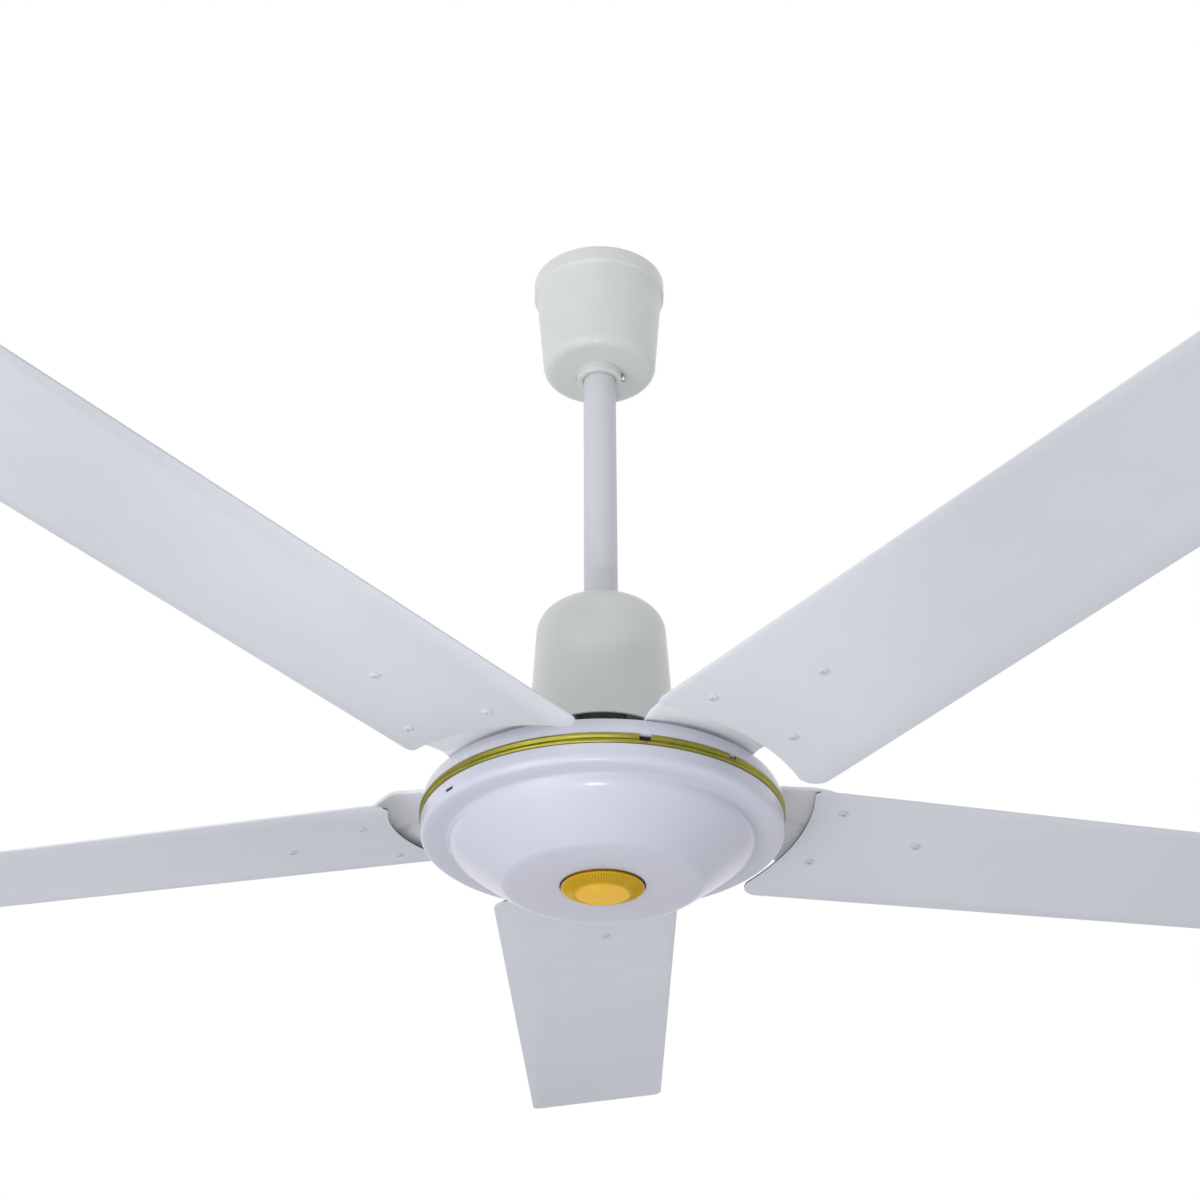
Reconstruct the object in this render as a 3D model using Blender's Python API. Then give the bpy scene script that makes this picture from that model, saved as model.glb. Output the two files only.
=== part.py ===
"""Five-blade ceiling fan: hanger, downrod, pancake motor, blade irons and sheet blades.

Units are metres and +Z is up. The origin is the point where the ceiling hook carries
the rubber roller. The motor hangs below it, and its pieces are drawn about the motor
datum, the plane where the two housing covers meet.
"""
import math

import bmesh
import bpy
from mathutils import Matrix, Vector

# Fits
FIT_GAP = 0.0003
MERGE_DISTANCE = 0.000001
ALIGNED_COSINE = 0.9
ROUND_PROFILE = 0.5
CUT_OVERRUN = 0.002
SHARP_ANGLE = math.radians(32)

# Rubber roller and its bolt
ROLLER_GROOVE_RADIUS = 0.009
ROLLER_FLANGE_RADIUS = 0.015
ROLLER_WIDTH = 0.024
ROLLER_FLANGE_WIDTH = 0.004
ROLLER_SLOPE_SHARE = 0.8
BOLT_RADIUS = 0.004
BOLT_FLATS = 0.013
BOLT_HEAD_HEIGHT = 0.0053
NUT_HEIGHT = 0.0065
BOLT_TAIL = 0.007

# Split pins
PIN_WIRE_RADIUS = 0.0006
PIN_EYE_RADIUS = 0.0022
PIN_TIP_REACH = 0.0035
PIN_SPREAD = 0.0012
PIN_EYE_STEPS = 6

# Shackle
STRAP_THICKNESS = 0.003
STRAP_WIDTH = 0.024
STRAP_BEND_RADIUS = 0.0045
STRAP_END_ROUND_SHARE = 0.98
STRAP_END_STEPS = 4
STRAP_BEND_STEPS = 3
SHACKLE_SIDE_PLAY = 0.0005
SHACKLE_THROAT = 0.034
COLLAR_LENGTH = 0.024
COLLAR_WALL = 0.0032
WIRE_HOLE_RADIUS = 0.0065

# Downrod
ROD_RADIUS = 0.0125
ROD_WALL = 0.0022
ROD_LENGTH = 0.337

# Upper canopy, a cup that is open to the ceiling
CANOPY_WALL = 0.0022
UPPER_CANOPY_RISE = 0.0162
UPPER_CANOPY_HEIGHT = 0.0862
UPPER_RIM_RADIUS = 0.0513
UPPER_RIM_BAND = 0.0125
UPPER_NECK_RADIUS = 0.0490
UPPER_FOOT_RADIUS = 0.0436
CANOPY_STEP_HEIGHT = 0.0018
UPPER_CORNER_RADIUS = 0.0075

# Lower canopy, a cup that is open to the motor
LOWER_CANOPY_LIFT = 0.0581
LOWER_CANOPY_HEIGHT = 0.1091
LOWER_MOUTH_RADIUS = 0.0527
LOWER_SHOULDER_RADIUS = 0.0473
LOWER_CORNER_RADIUS = 0.0206

# Hubs and set screws of both canopies
HUB_RADIUS = 0.0172
HUB_HEIGHT = 0.0068
SET_SCREW_RADIUS = 0.0018
SET_SCREW_HEAD_RADIUS = 0.0034
SET_SCREW_HEAD_HEIGHT = 0.0024

# Rod coupling on the motor shaft
COUPLING_RADIUS = 0.018
COUPLING_SOCKET_DEPTH = 0.035
COUPLING_WEB = 0.005
COUPLING_SHAFT_DEPTH = 0.026
COUPLING_FLANGE_RADIUS = 0.023
COUPLING_FLANGE_HEIGHT = 0.004
COUPLING_PIN_RADIUS = 0.0025
COUPLING_PIN_SHORTFALL = 0.001

# Capacitor, its tray and the terminal block
TRAY_RADIUS = 0.0445
TRAY_RIM_HEIGHT = 0.006
TRAY_SHEET = 0.0015
CAPACITOR_DEPTH = 0.016
CAPACITOR_WIDTH = 0.033
CAPACITOR_HEIGHT = 0.032
CAPACITOR_CORNER = 0.003
BLOCK_DEPTH = 0.014
BLOCK_TOWER_WIDTH = 0.008
BLOCK_NOTCH_WIDTH = 0.003
BLOCK_BASE_HEIGHT = 0.007
BLOCK_TOWER_HEIGHT = 0.007
BLOCK_TOWERS = 3

# Shaft and bearings
JOURNAL_RADIUS = 0.0085
SHOULDER_RADIUS = 0.011
STATOR_SEAT_RADIUS = 0.016
STATOR_FLANGE_RADIUS = 0.020
STATOR_FLANGE_HEIGHT = 0.003
SHAFT_BORE_RADIUS = 0.004
SHAFT_BORE_DEPTH = 0.055
SHAFT_CHAMFER = 0.001
BEARING_RADIUS = 0.020
BEARING_WIDTH = 0.012
BEARING_RACE_SPLIT = 0.0150

# Housing covers about the motor datum
MOTOR_RADIUS = 0.1262
COVER_WALL = 0.003
TOP_COVER_HEIGHT = 0.017
BOSS_HEIGHT = 0.021
BOSS_RADIUS = 0.0238
BOSS_FILLET = 0.0025
BOSS_MOUTH_RADIUS = 0.012
NECK_GAP = 0.008
DOME_DEPTH = 0.050
SEAT_RIB_DEPTH = 0.006
JOINT_GAP = 0.0003
COVER_SEGMENTS = 38

TOP_SHOULDER_SHARES = (
    (0.998, 0.52),
    (0.990, 0.70),
    (0.976, 0.88),
    (0.957, 0.96),
    (0.925, 0.96),
    (0.922, 1.00),
)
DOME_OUTER_SHARES = (
    (0.999, 0.170),
    (1.000, 0.250),
    (0.992, 0.305),
    (0.974, 0.328),
    (0.940, 0.330),
    (0.890, 0.318),
    (0.858, 0.314),
    (0.845, 0.335),
    (0.836, 0.400),
    (0.818, 0.465),
    (0.788, 0.535),
    (0.745, 0.620),
    (0.690, 0.727),
    (0.640, 0.820),
    (0.595, 0.902),
    (0.562, 0.957),
    (0.545, 0.983),
    (0.520, 1.000),
)
DOME_INNER_SHARES = (
    (0.540, 0.900),
    (0.600, 0.785),
    (0.690, 0.620),
    (0.785, 0.470),
    (0.812, 0.370),
    (0.822, 0.262),
    (0.915, 0.250),
)
DOME_SKIRT_SHARE = 0.180

# Trim band round the joint of the covers
TRIM_HEIGHT = 0.008
TRIM_SEAT_DEPTH = 0.0009
TRIM_THICKNESS = 0.0019
TRIM_EDGE_SHARE = 0.72
TRIM_BEAD_SHARE = 0.34
TRIM_VALLEY_SHARE = 0.80
TRIM_JOINT_WIDTH = 0.0012
TRIM_JOINT_AZIMUTH = math.radians(-77.7)

# Centre cap in the nose of the dome
CAP_RADIUS = 0.0288
CAP_PLAY = 0.0006
CAP_SEAT_DEPTH = 0.006
CAP_STAND = 0.0065
CAP_RIM_STAND = -0.001
CAP_FACE_RADIUS = 0.0182
CAP_FLUTE_DEPTH = 0.0007
CAP_FLUTES = 24
CAP_RECESS_WALL = 0.003

# Stator, windings and rotor
STATOR_RADIUS = 0.0878
AIR_GAP = 0.0005
STATOR_STACK = 0.018
STATOR_CENTRE_DROP = 0.008
STATOR_SLOTS = 18
SLOT_DEPTH = 0.022
SLOT_OPEN_SHARE = 0.36
SLOT_FLOOR_SHARE = 0.44
WINDING_INNER_RADIUS = 0.056
WINDING_OUTER_RADIUS = 0.083
WINDING_HEIGHT = 0.0105
WINDING_SAG_SHARE = 0.80
WINDING_STEPS = 36
ROTOR_SHARE = 0.80
ROTOR_STACK = 0.020

# Blades: pitch, rise and outline about each blade's own radial line
BLADE_COUNT = 5
BLADE_FIRST_AZIMUTH = math.radians(89.6)
BLADE_PITCH = math.radians(7.5)
BLADE_RISE = math.radians(2.0)
BLADE_SHEET = 0.0012
BLADE_ROOT_RADIUS = 0.150
BLADE_ROOT_HEIGHT = 0.0083
BLADE_TIP_LEAD_RADIUS = 0.700
BLADE_TIP_TRAIL_RADIUS = 0.693
BLADE_ROOT_LEAD = 0.057
BLADE_ROOT_TRAIL = 0.083
BLADE_TIP_LEAD = 0.050
BLADE_TIP_TRAIL = 0.073
BLADE_ROOT_TRAIL_SETBACK = 0.015
BLADE_CREASE_ROOT = 0.040
BLADE_CREASE_TIP = 0.063
BLADE_CREASE_ANGLE = math.radians(2.2)
BLADE_LEAD_CORNER = 0.009
BLADE_TRAIL_CORNER = 0.013
BLADE_TIP_CORNER = 0.008
ROOT_ARC_STEPS = 8

# Blade irons
IRON_SHEET = 0.0025
IRON_INNER_RADIUS = 0.064
IRON_OUTER_RADIUS = 0.250
IRON_HALF_WIDTH = 0.0525
IRON_RIB_HALF_WIDTH = 0.008
IRON_RIB_HEIGHT = 0.0026
IRON_MOTOR_CLEARANCE = 0.0028
IRON_BLADE_LAP = 0.014
IRON_SEAT_SLACK = 0.0001

# Stations of an iron: how far along its stretch, its half width, and its rib
IRON_SEAT_SHARES = (
    (0.000, 0.38, 0.0),
    (0.064, 0.50, 0.0),
    (0.740, 0.86, 0.7),
)
IRON_BEND_SHARES = (
    (0.000, 0.90, 1.0),
    (0.333, 0.97, 1.0),
    (0.667, 1.00, 1.0),
    (1.000, 0.92, 1.0),
)
IRON_TAIL_SHARES = (
    (0.243, 0.68, 1.0),
    (0.503, 0.44, 1.0),
    (0.805, 0.26, 0.0),
    (1.000, 0.11, 0.0),
)

# Blade screws
BLADE_SCREW_RADIUS = 0.0025
BLADE_SCREW_HEAD_RADIUS = 0.0046
BLADE_SCREW_HEAD_HEIGHT = 0.0022
BLADE_SCREW_LENGTH = 0.0062
BLADE_SCREW_PLAY = 0.0004
INNER_SCREW_SETBACK = 0.018
INNER_SCREW_OFFSET = 0.033
OUTER_SCREW_SETBACK = 0.012

# Facets of small round pieces
CANOPY_SEGMENTS = 24
ROD_SEGMENTS = 20
BOLT_SEGMENTS = 12
ROLLER_SEGMENTS = 16
SCREW_SEGMENTS = 8
CORNER_STEPS = 3
CROWN_STEPS = 5

# Heights that follow from the sizes above
ROLLER_AXIS_Z = ROLLER_GROOVE_RADIUS
WEB_TOP_Z = ROLLER_AXIS_Z - SHACKLE_THROAT
WEB_BOTTOM_Z = WEB_TOP_Z - STRAP_THICKNESS
COLLAR_BOTTOM_Z = WEB_BOTTOM_Z - COLLAR_LENGTH
ROD_TOP_Z = WEB_BOTTOM_Z - FIT_GAP
ROD_BOTTOM_Z = ROD_TOP_Z - ROD_LENGTH
SOCKET_FLOOR_Z = ROD_BOTTOM_Z - FIT_GAP
COUPLING_TOP_Z = SOCKET_FLOOR_Z + COUPLING_SOCKET_DEPTH
COUPLING_BOTTOM_Z = SOCKET_FLOOR_Z - COUPLING_WEB - COUPLING_SHAFT_DEPTH
BOSS_TOP = TOP_COVER_HEIGHT + BOSS_HEIGHT
MOTOR_Z = COUPLING_BOTTOM_Z - NECK_GAP - BOSS_TOP
ROD_TOP_BOLT_Z = WEB_BOTTOM_Z - COLLAR_LENGTH / 2
ROD_BOTTOM_BOLT_Z = SOCKET_FLOOR_Z + COUPLING_SOCKET_DEPTH / 2
UPPER_RIM_Z = ROLLER_AXIS_Z + UPPER_CANOPY_RISE
UPPER_FLOOR_Z = UPPER_RIM_Z - UPPER_CANOPY_HEIGHT
LOWER_MOUTH_Z = MOTOR_Z + LOWER_CANOPY_LIFT

# Widths that follow from the sizes above
ROD_BORE_RADIUS = ROD_RADIUS + FIT_GAP
BOLT_HOLE_RADIUS = BOLT_RADIUS + FIT_GAP
ARM_INNER_X = ROLLER_WIDTH / 2 + SHACKLE_SIDE_PLAY
ARM_OUTER_X = ARM_INNER_X + STRAP_THICKNESS
COLLAR_RADIUS = ROD_BORE_RADIUS + COLLAR_WALL
PIN_LEG_OFFSET = PIN_WIRE_RADIUS + FIT_GAP / 2
PIN_HOLE_RADIUS = PIN_LEG_OFFSET + PIN_WIRE_RADIUS + FIT_GAP
TRIM_SEAT_RADIUS = MOTOR_RADIUS - TRIM_SEAT_DEPTH
COVER_BORE_RADIUS = TRIM_SEAT_RADIUS - COVER_WALL
ROTOR_RADIUS = MOTOR_RADIUS * ROTOR_SHARE
POCKET_RADIUS = (BEARING_RADIUS + FIT_GAP) / math.cos(math.pi / COVER_SEGMENTS)
POCKET_WALL_RADIUS = POCKET_RADIUS + COVER_WALL
CAP_RECESS_RADIUS = (CAP_RADIUS + CAP_PLAY) / math.cos(math.pi / COVER_SEGMENTS)
IRON_BEND_START = MOTOR_RADIUS + IRON_MOTOR_CLEARANCE
IRON_BEND_END = BLADE_ROOT_RADIUS + IRON_BLADE_LAP
INNER_SCREW_RADIUS = BLADE_ROOT_RADIUS + INNER_SCREW_SETBACK
OUTER_SCREW_RADIUS = IRON_OUTER_RADIUS - OUTER_SCREW_SETBACK

# Heights inside the motor, counted from the datum
UPPER_BEARING_TOP = BOSS_TOP - COVER_WALL - FIT_GAP
UPPER_SHOULDER = UPPER_BEARING_TOP - BEARING_WIDTH - FIT_GAP
CAP_SEAT = -DOME_DEPTH + CAP_SEAT_DEPTH
POCKET_FLOOR = CAP_SEAT + 2 * COVER_WALL
LOWER_BEARING_BOTTOM = POCKET_FLOOR + FIT_GAP
LOWER_SHOULDER = LOWER_BEARING_BOTTOM + BEARING_WIDTH + FIT_GAP
STATOR_BOTTOM = -STATOR_CENTRE_DROP - STATOR_STACK / 2
STATOR_TOP = STATOR_BOTTOM + STATOR_STACK
SHAFT_TOP = BOSS_TOP + NECK_GAP + COUPLING_SHAFT_DEPTH - FIT_GAP

ALONG_X = (0, math.radians(90), 0)
ALONG_Y = (math.radians(-90), 0, 0)


def clear_scene():
    """Remove whatever objects the file already holds."""
    for old in list(bpy.data.objects):
        bpy.data.objects.remove(old, do_unlink=True)


def make_material(name, color, roughness, metallic):
    """Return a Principled BSDF material."""
    mat = bpy.data.materials.new(name)
    mat.use_nodes = True
    shader = mat.node_tree.nodes["Principled BSDF"]
    shader.inputs["Base Color"].default_value = (*color, 1.0)
    shader.inputs["Roughness"].default_value = roughness
    shader.inputs["Metallic"].default_value = metallic
    return mat


def make_object(name, data, mat=None, parent=None, place=(0, 0, 0), turn=(0, 0, 0)):
    """Put a mesh or curve in the scene at a place counted from its parent."""
    obj = bpy.data.objects.new(name, data)
    bpy.context.scene.collection.objects.link(obj)
    obj.parent = parent
    obj.location = place
    obj.rotation_euler = turn
    if mat is not None:
        data.materials.append(mat)
    return obj


def mesh_from(bm, name):
    """Close a bmesh into a smooth-shaded mesh whose faces point out."""
    bmesh.ops.remove_doubles(bm, verts=bm.verts, dist=MERGE_DISTANCE)
    bmesh.ops.recalc_face_normals(bm, faces=bm.faces)
    mesh = bpy.data.meshes.new(name)
    bm.to_mesh(mesh)
    bm.free()
    mesh.shade_smooth()
    mesh.set_sharp_from_angle(angle=SHARP_ANGLE)
    return mesh


def turned(name, profile, segments):
    """Turn a profile of (radius, height) points about Z.

    A profile whose ends lie on the axis is open there, and any other is a closed loop.
    """
    bm = bmesh.new()
    verts = [bm.verts.new((radius, 0, height)) for radius, height in profile]
    edges = [bm.edges.new(pair) for pair in zip(verts, verts[1:])]
    if profile[0][0] > 0:
        edges.append(bm.edges.new((verts[-1], verts[0])))
    bmesh.ops.spin(bm, geom=verts + edges, cent=(0, 0, 0), axis=(0, 0, 1),
                   angle=math.tau, steps=segments, use_merge=True)
    return mesh_from(bm, name)


def lofted(name, rings, closed=False):
    """Join rings of equally many points; closed joins the last ring to the first."""
    bm = bmesh.new()
    rows = [[bm.verts.new(point) for point in ring] for ring in rings]
    pairs = list(zip(rows, rows[1:]))
    if closed:
        pairs.append((rows[-1], rows[0]))
    for low, high in pairs:
        for index in range(len(low)):
            after = (index + 1) % len(low)
            bm.faces.new((low[index], low[after], high[after], high[index]))
    if not closed:
        bm.faces.new(list(reversed(rows[0])))
        bm.faces.new(rows[-1])
    return mesh_from(bm, name)


def circle(radius, height, count):
    """Return points round a circle about Z."""
    turns = [math.tau * index / count for index in range(count)]
    return [(radius * math.cos(turn), radius * math.sin(turn), height) for turn in turns]


def hexagon(flats, height, count):
    """Return points round a hexagon, as many as a circle that it is joined to has."""
    points = []
    for index in range(count):
        turn = math.tau * index / count
        off_flat = (turn + math.pi / 6) % (math.pi / 3) - math.pi / 6
        radius = flats / 2 / math.cos(math.pi / 6 - abs(off_flat))
        points.append((radius * math.cos(turn), radius * math.sin(turn), height))
    return points


def running_bore(radius, segments):
    """Return the radius of a bore whose flats, not its corners, reach the radius."""
    return radius / math.cos(math.pi / segments)


def rectangle(depth, width, height):
    """Return the corners of a rectangle about Z."""
    return [(depth / 2, width / 2, height), (-depth / 2, width / 2, height),
            (-depth / 2, -width / 2, height), (depth / 2, -width / 2, height)]


def rounded_rectangle(depth, width, corner, height):
    """Return the points of a rectangle with round corners about Z."""
    points = []
    for quarter, (side_x, side_y) in enumerate(((1, 1), (-1, 1), (-1, -1), (1, -1))):
        centre_x = side_x * (depth / 2 - corner)
        centre_y = side_y * (width / 2 - corner)
        for step in range(CORNER_STEPS):
            turn = (quarter + step / (CORNER_STEPS - 1)) * math.pi / 2
            points.append((centre_x + corner * math.cos(turn),
                           centre_y + corner * math.sin(turn), height))
    return points


def corner_arc(centre_radius, centre_height, radius, start_deg, end_deg, steps):
    """Return profile points round a corner, from one angle to another."""
    points = []
    for step in range(steps + 1):
        turn = math.radians(start_deg + (end_deg - start_deg) * step / steps)
        points.append((centre_radius + radius * math.cos(turn),
                       centre_height + radius * math.sin(turn)))
    return points


def rod_cutter(name, radius, length, place, turn=(0, 0, 0), parent=None, count=BOLT_SEGMENTS):
    """Make a hidden cylinder, centred on its place, to cut a round hole with."""
    rings = [circle(radius, -length / 2, count), circle(radius, length / 2, count)]
    tool = make_object(name, lofted(name, rings), None, parent, place, turn)
    return hidden(tool)


def hidden(tool):
    """Mark an object as a tool of a Boolean and not a piece of the fan."""
    tool.hide_render = True
    tool.display_type = "WIRE"
    return tool


def combine(obj, tool, operation="DIFFERENCE"):
    """Cut a piece with a tool, or join the tool to it."""
    modifier = obj.modifiers.new(operation.lower(), "BOOLEAN")
    modifier.operation = operation
    modifier.object = tool
    return obj


def evaluated_mesh(obj, name):
    """Return an object's mesh with its modifiers applied, and remove the object."""
    graph = bpy.context.evaluated_depsgraph_get()
    graph.update()
    mesh = bpy.data.meshes.new_from_object(obj.evaluated_get(graph), depsgraph=graph)
    mesh.name = name
    bpy.data.objects.remove(obj, do_unlink=True)
    return mesh


def make_empty(name, place, parent=None):
    """Mark a joint's axis."""
    empty = bpy.data.objects.new(name, None)
    bpy.context.scene.collection.objects.link(empty)
    empty.parent = parent
    empty.location = place
    return empty


def hex_bolt(name, length, mat, parent, place, turn, pin_height):
    """Make a hexagon bolt with a split-pin hole, its head just below its place."""
    rings = [
        hexagon(BOLT_FLATS, -BOLT_HEAD_HEIGHT, BOLT_SEGMENTS),
        hexagon(BOLT_FLATS, 0, BOLT_SEGMENTS),
        circle(BOLT_RADIUS, 0, BOLT_SEGMENTS),
        circle(BOLT_RADIUS, length, BOLT_SEGMENTS),
    ]
    bolt = make_object(name, lofted(name, rings), mat, parent, place, turn)
    cross_length = 2 * (BOLT_RADIUS + CUT_OVERRUN)
    tool = rod_cutter(name + "_pin_hole", PIN_HOLE_RADIUS, cross_length,
                      (0, 0, pin_height), ALONG_X, bolt, SCREW_SEGMENTS)
    return combine(bolt, tool)


def hex_nut(name, mat, parent, place, turn):
    """Make a plain hexagon nut that stands on its place."""
    rings = [
        hexagon(BOLT_FLATS, 0, BOLT_SEGMENTS),
        hexagon(BOLT_FLATS, NUT_HEIGHT, BOLT_SEGMENTS),
        circle(BOLT_HOLE_RADIUS, NUT_HEIGHT, BOLT_SEGMENTS),
        circle(BOLT_HOLE_RADIUS, 0, BOLT_SEGMENTS),
    ]
    return make_object(name, lofted(name, rings, closed=True), mat, parent, place, turn)


def split_pin(name, mat, parent, place, turn):
    """Make a split pin: a wire eye with two legs through the bolt, tips spread."""
    eye_edge = -BOLT_RADIUS - PIN_WIRE_RADIUS
    eye_centre = eye_edge - PIN_EYE_RADIUS
    tip = BOLT_RADIUS + PIN_TIP_REACH
    half_open = math.asin(PIN_LEG_OFFSET / PIN_EYE_RADIUS)
    eye = []
    for step in range(PIN_EYE_STEPS + 1):
        angle = half_open + (math.tau - 2 * half_open) * step / PIN_EYE_STEPS
        eye.append((eye_centre + PIN_EYE_RADIUS * math.cos(angle),
                    PIN_EYE_RADIUS * math.sin(angle)))
    route = [(tip, PIN_LEG_OFFSET + PIN_SPREAD), (BOLT_RADIUS + PIN_WIRE_RADIUS, PIN_LEG_OFFSET)]
    route += eye
    route += [(BOLT_RADIUS + PIN_WIRE_RADIUS, -PIN_LEG_OFFSET), (tip, -PIN_LEG_OFFSET - PIN_SPREAD)]
    curve = bpy.data.curves.new(name, "CURVE")
    curve.dimensions = "3D"
    curve.bevel_depth = PIN_WIRE_RADIUS
    curve.bevel_resolution = 1
    curve.use_fill_caps = True
    spline = curve.splines.new("POLY")
    spline.points.add(len(route) - 1)
    for point, (along, across) in zip(spline.points, route):
        point.co = (along, 0, across, 1)
    return make_object(name, curve, mat, parent, place, turn)


def pinned_bolt(stem, half_grip, mats, parent, place, turn):
    """Fit a bolt, its nut and its split pin across a grip centred on a place."""
    axis = Matrix.Rotation(turn[0], 3, "X") @ Matrix.Rotation(turn[1], 3, "Y") @ Vector((0, 0, 1))
    head_seat = half_grip + FIT_GAP
    pin_height = 2 * head_seat + NUT_HEIGHT + BOLT_TAIL / 2
    length = 2 * head_seat + NUT_HEIGHT + BOLT_TAIL
    head_place = Vector(place) - axis * head_seat
    hex_bolt(stem + "_bolt", length, mats["zinc"], parent, head_place, turn, pin_height)
    hex_nut(stem + "_nut", mats["zinc"], parent, Vector(place) + axis * head_seat, turn)
    split_pin(stem + "_split_pin", mats["zinc"], parent, head_place + axis * pin_height, turn)


def build_roller(mats):
    """Make the grooved rubber roller that lies in the ceiling hook."""
    half = ROLLER_WIDTH / 2
    flange = half - ROLLER_FLANGE_WIDTH
    groove_side = (ROLLER_GROOVE_RADIUS + ROLLER_FLANGE_RADIUS) / 2
    bore = running_bore(BOLT_HOLE_RADIUS, ROLLER_SEGMENTS)
    profile = [
        (bore, -half),
        (ROLLER_FLANGE_RADIUS, -half),
        (ROLLER_FLANGE_RADIUS, -flange),
        (groove_side, -flange * ROLLER_SLOPE_SHARE),
        (ROLLER_GROOVE_RADIUS, -flange / 2),
        (ROLLER_GROOVE_RADIUS, flange / 2),
        (groove_side, flange * ROLLER_SLOPE_SHARE),
        (ROLLER_FLANGE_RADIUS, flange),
        (ROLLER_FLANGE_RADIUS, half),
        (bore, half),
    ]
    mesh = turned("hanger_roller", profile, ROLLER_SEGMENTS)
    make_object("hanger_roller", mesh, mats["rubber"], None, (0, 0, ROLLER_AXIS_Z), ALONG_X)


def shackle_strap_mesh():
    """Bend a strap into a U with round arm ends, drawn about the roller's axis."""
    top = STRAP_WIDTH / 2
    web_top = -SHACKLE_THROAT
    web_bottom = web_top - STRAP_THICKNESS
    outline = [
        (-ARM_OUTER_X, top), (-ARM_OUTER_X, web_bottom), (ARM_OUTER_X, web_bottom),
        (ARM_OUTER_X, top), (ARM_INNER_X, top), (ARM_INNER_X, web_top),
        (-ARM_INNER_X, web_top), (-ARM_INNER_X, top),
    ]
    half = STRAP_WIDTH / 2
    bm = bmesh.new()
    face = bm.faces.new([bm.verts.new((x, -half, z)) for x, z in outline])
    grown = bmesh.ops.extrude_face_region(bm, geom=[face])["geom"]
    moved = [item for item in grown if isinstance(item, bmesh.types.BMVert)]
    bmesh.ops.translate(bm, verts=moved, vec=(0, STRAP_WIDTH, 0))
    bmesh.ops.recalc_face_normals(bm, faces=bm.faces)
    ends = []
    bends = []
    for edge in bm.edges:
        first, second = (vert.co for vert in edge.verts)
        along = (first - second).normalized()
        high = min(first.z, second.z) > 0
        low = max(first.z, second.z) < web_bottom + STRAP_THICKNESS / 2
        if abs(along.x) > ALIGNED_COSINE and high:
            ends.append(edge)
        if abs(along.y) > ALIGNED_COSINE and low:
            bends.append(edge)
    bmesh.ops.bevel(bm, geom=ends, offset=half * STRAP_END_ROUND_SHARE,
                    segments=STRAP_END_STEPS, profile=ROUND_PROFILE, affect="EDGES")
    bends = [edge for edge in bends if edge.is_valid]
    bmesh.ops.bevel(bm, geom=bends, offset=STRAP_BEND_RADIUS, segments=STRAP_BEND_STEPS,
                    profile=ROUND_PROFILE, affect="EDGES")
    return mesh_from(bm, "hanger_shackle")


def build_shackle(mats, swing):
    """Make the U shackle with the collar that takes the rod, and bolt it up."""
    shackle = make_object("hanger_shackle", shackle_strap_mesh(), mats["zinc"], swing)
    collar_top = WEB_TOP_Z - STRAP_THICKNESS / 2 - ROLLER_AXIS_Z
    collar_bottom = COLLAR_BOTTOM_Z - ROLLER_AXIS_Z
    collar_rings = [
        circle(COLLAR_RADIUS, collar_bottom, ROD_SEGMENTS),
        circle(COLLAR_RADIUS, collar_top, ROD_SEGMENTS),
    ]
    collar = hidden(make_object("shackle_collar_tool", lofted("shackle_collar_tool", collar_rings),
                                None, swing))
    combine(shackle, collar, "UNION")
    web_bottom = WEB_BOTTOM_Z - ROLLER_AXIS_Z
    bore_rings = [
        circle(ROD_BORE_RADIUS, collar_bottom - CUT_OVERRUN, ROD_SEGMENTS),
        circle(ROD_BORE_RADIUS, web_bottom, ROD_SEGMENTS),
        circle(WIRE_HOLE_RADIUS, web_bottom, ROD_SEGMENTS),
        circle(WIRE_HOLE_RADIUS, web_bottom + STRAP_THICKNESS + CUT_OVERRUN, ROD_SEGMENTS),
    ]
    bore = hidden(make_object("shackle_bore_tool", lofted("shackle_bore_tool", bore_rings),
                              None, swing))
    combine(shackle, bore)
    arm_tool = rod_cutter("shackle_arm_tool", BOLT_HOLE_RADIUS, 2 * (ARM_OUTER_X + CUT_OVERRUN),
                          (0, 0, 0), ALONG_X, swing)
    combine(shackle, arm_tool)
    rod_bolt_height = ROD_TOP_BOLT_Z - ROLLER_AXIS_Z
    rod_tool = rod_cutter("shackle_rod_bolt_tool", BOLT_HOLE_RADIUS,
                          2 * (COLLAR_RADIUS + CUT_OVERRUN), (0, 0, rod_bolt_height), ALONG_Y, swing)
    combine(shackle, rod_tool)
    pinned_bolt("hanger", ARM_OUTER_X, mats, swing, (0, 0, 0), ALONG_X)
    pinned_bolt("rod_top", COLLAR_RADIUS, mats, swing, (0, 0, rod_bolt_height), ALONG_Y)


def build_downrod(mats, swing):
    """Make the tube that carries the motor, cross-drilled at both ends."""
    inner = ROD_RADIUS - ROD_WALL
    top = ROD_TOP_Z - ROLLER_AXIS_Z
    bottom = ROD_BOTTOM_Z - ROLLER_AXIS_Z
    profile = [(inner, top), (ROD_RADIUS, top), (ROD_RADIUS, bottom), (inner, bottom)]
    rod = make_object("downrod", turned("downrod", profile, ROD_SEGMENTS), mats["white"], swing)
    for end, height in (("top", ROD_TOP_BOLT_Z), ("bottom", ROD_BOTTOM_BOLT_Z)):
        tool = rod_cutter("downrod_" + end + "_tool", BOLT_HOLE_RADIUS,
                          2 * (ROD_RADIUS + CUT_OVERRUN),
                          (0, 0, height - ROLLER_AXIS_Z), ALONG_Y, swing)
        combine(rod, tool)


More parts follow.
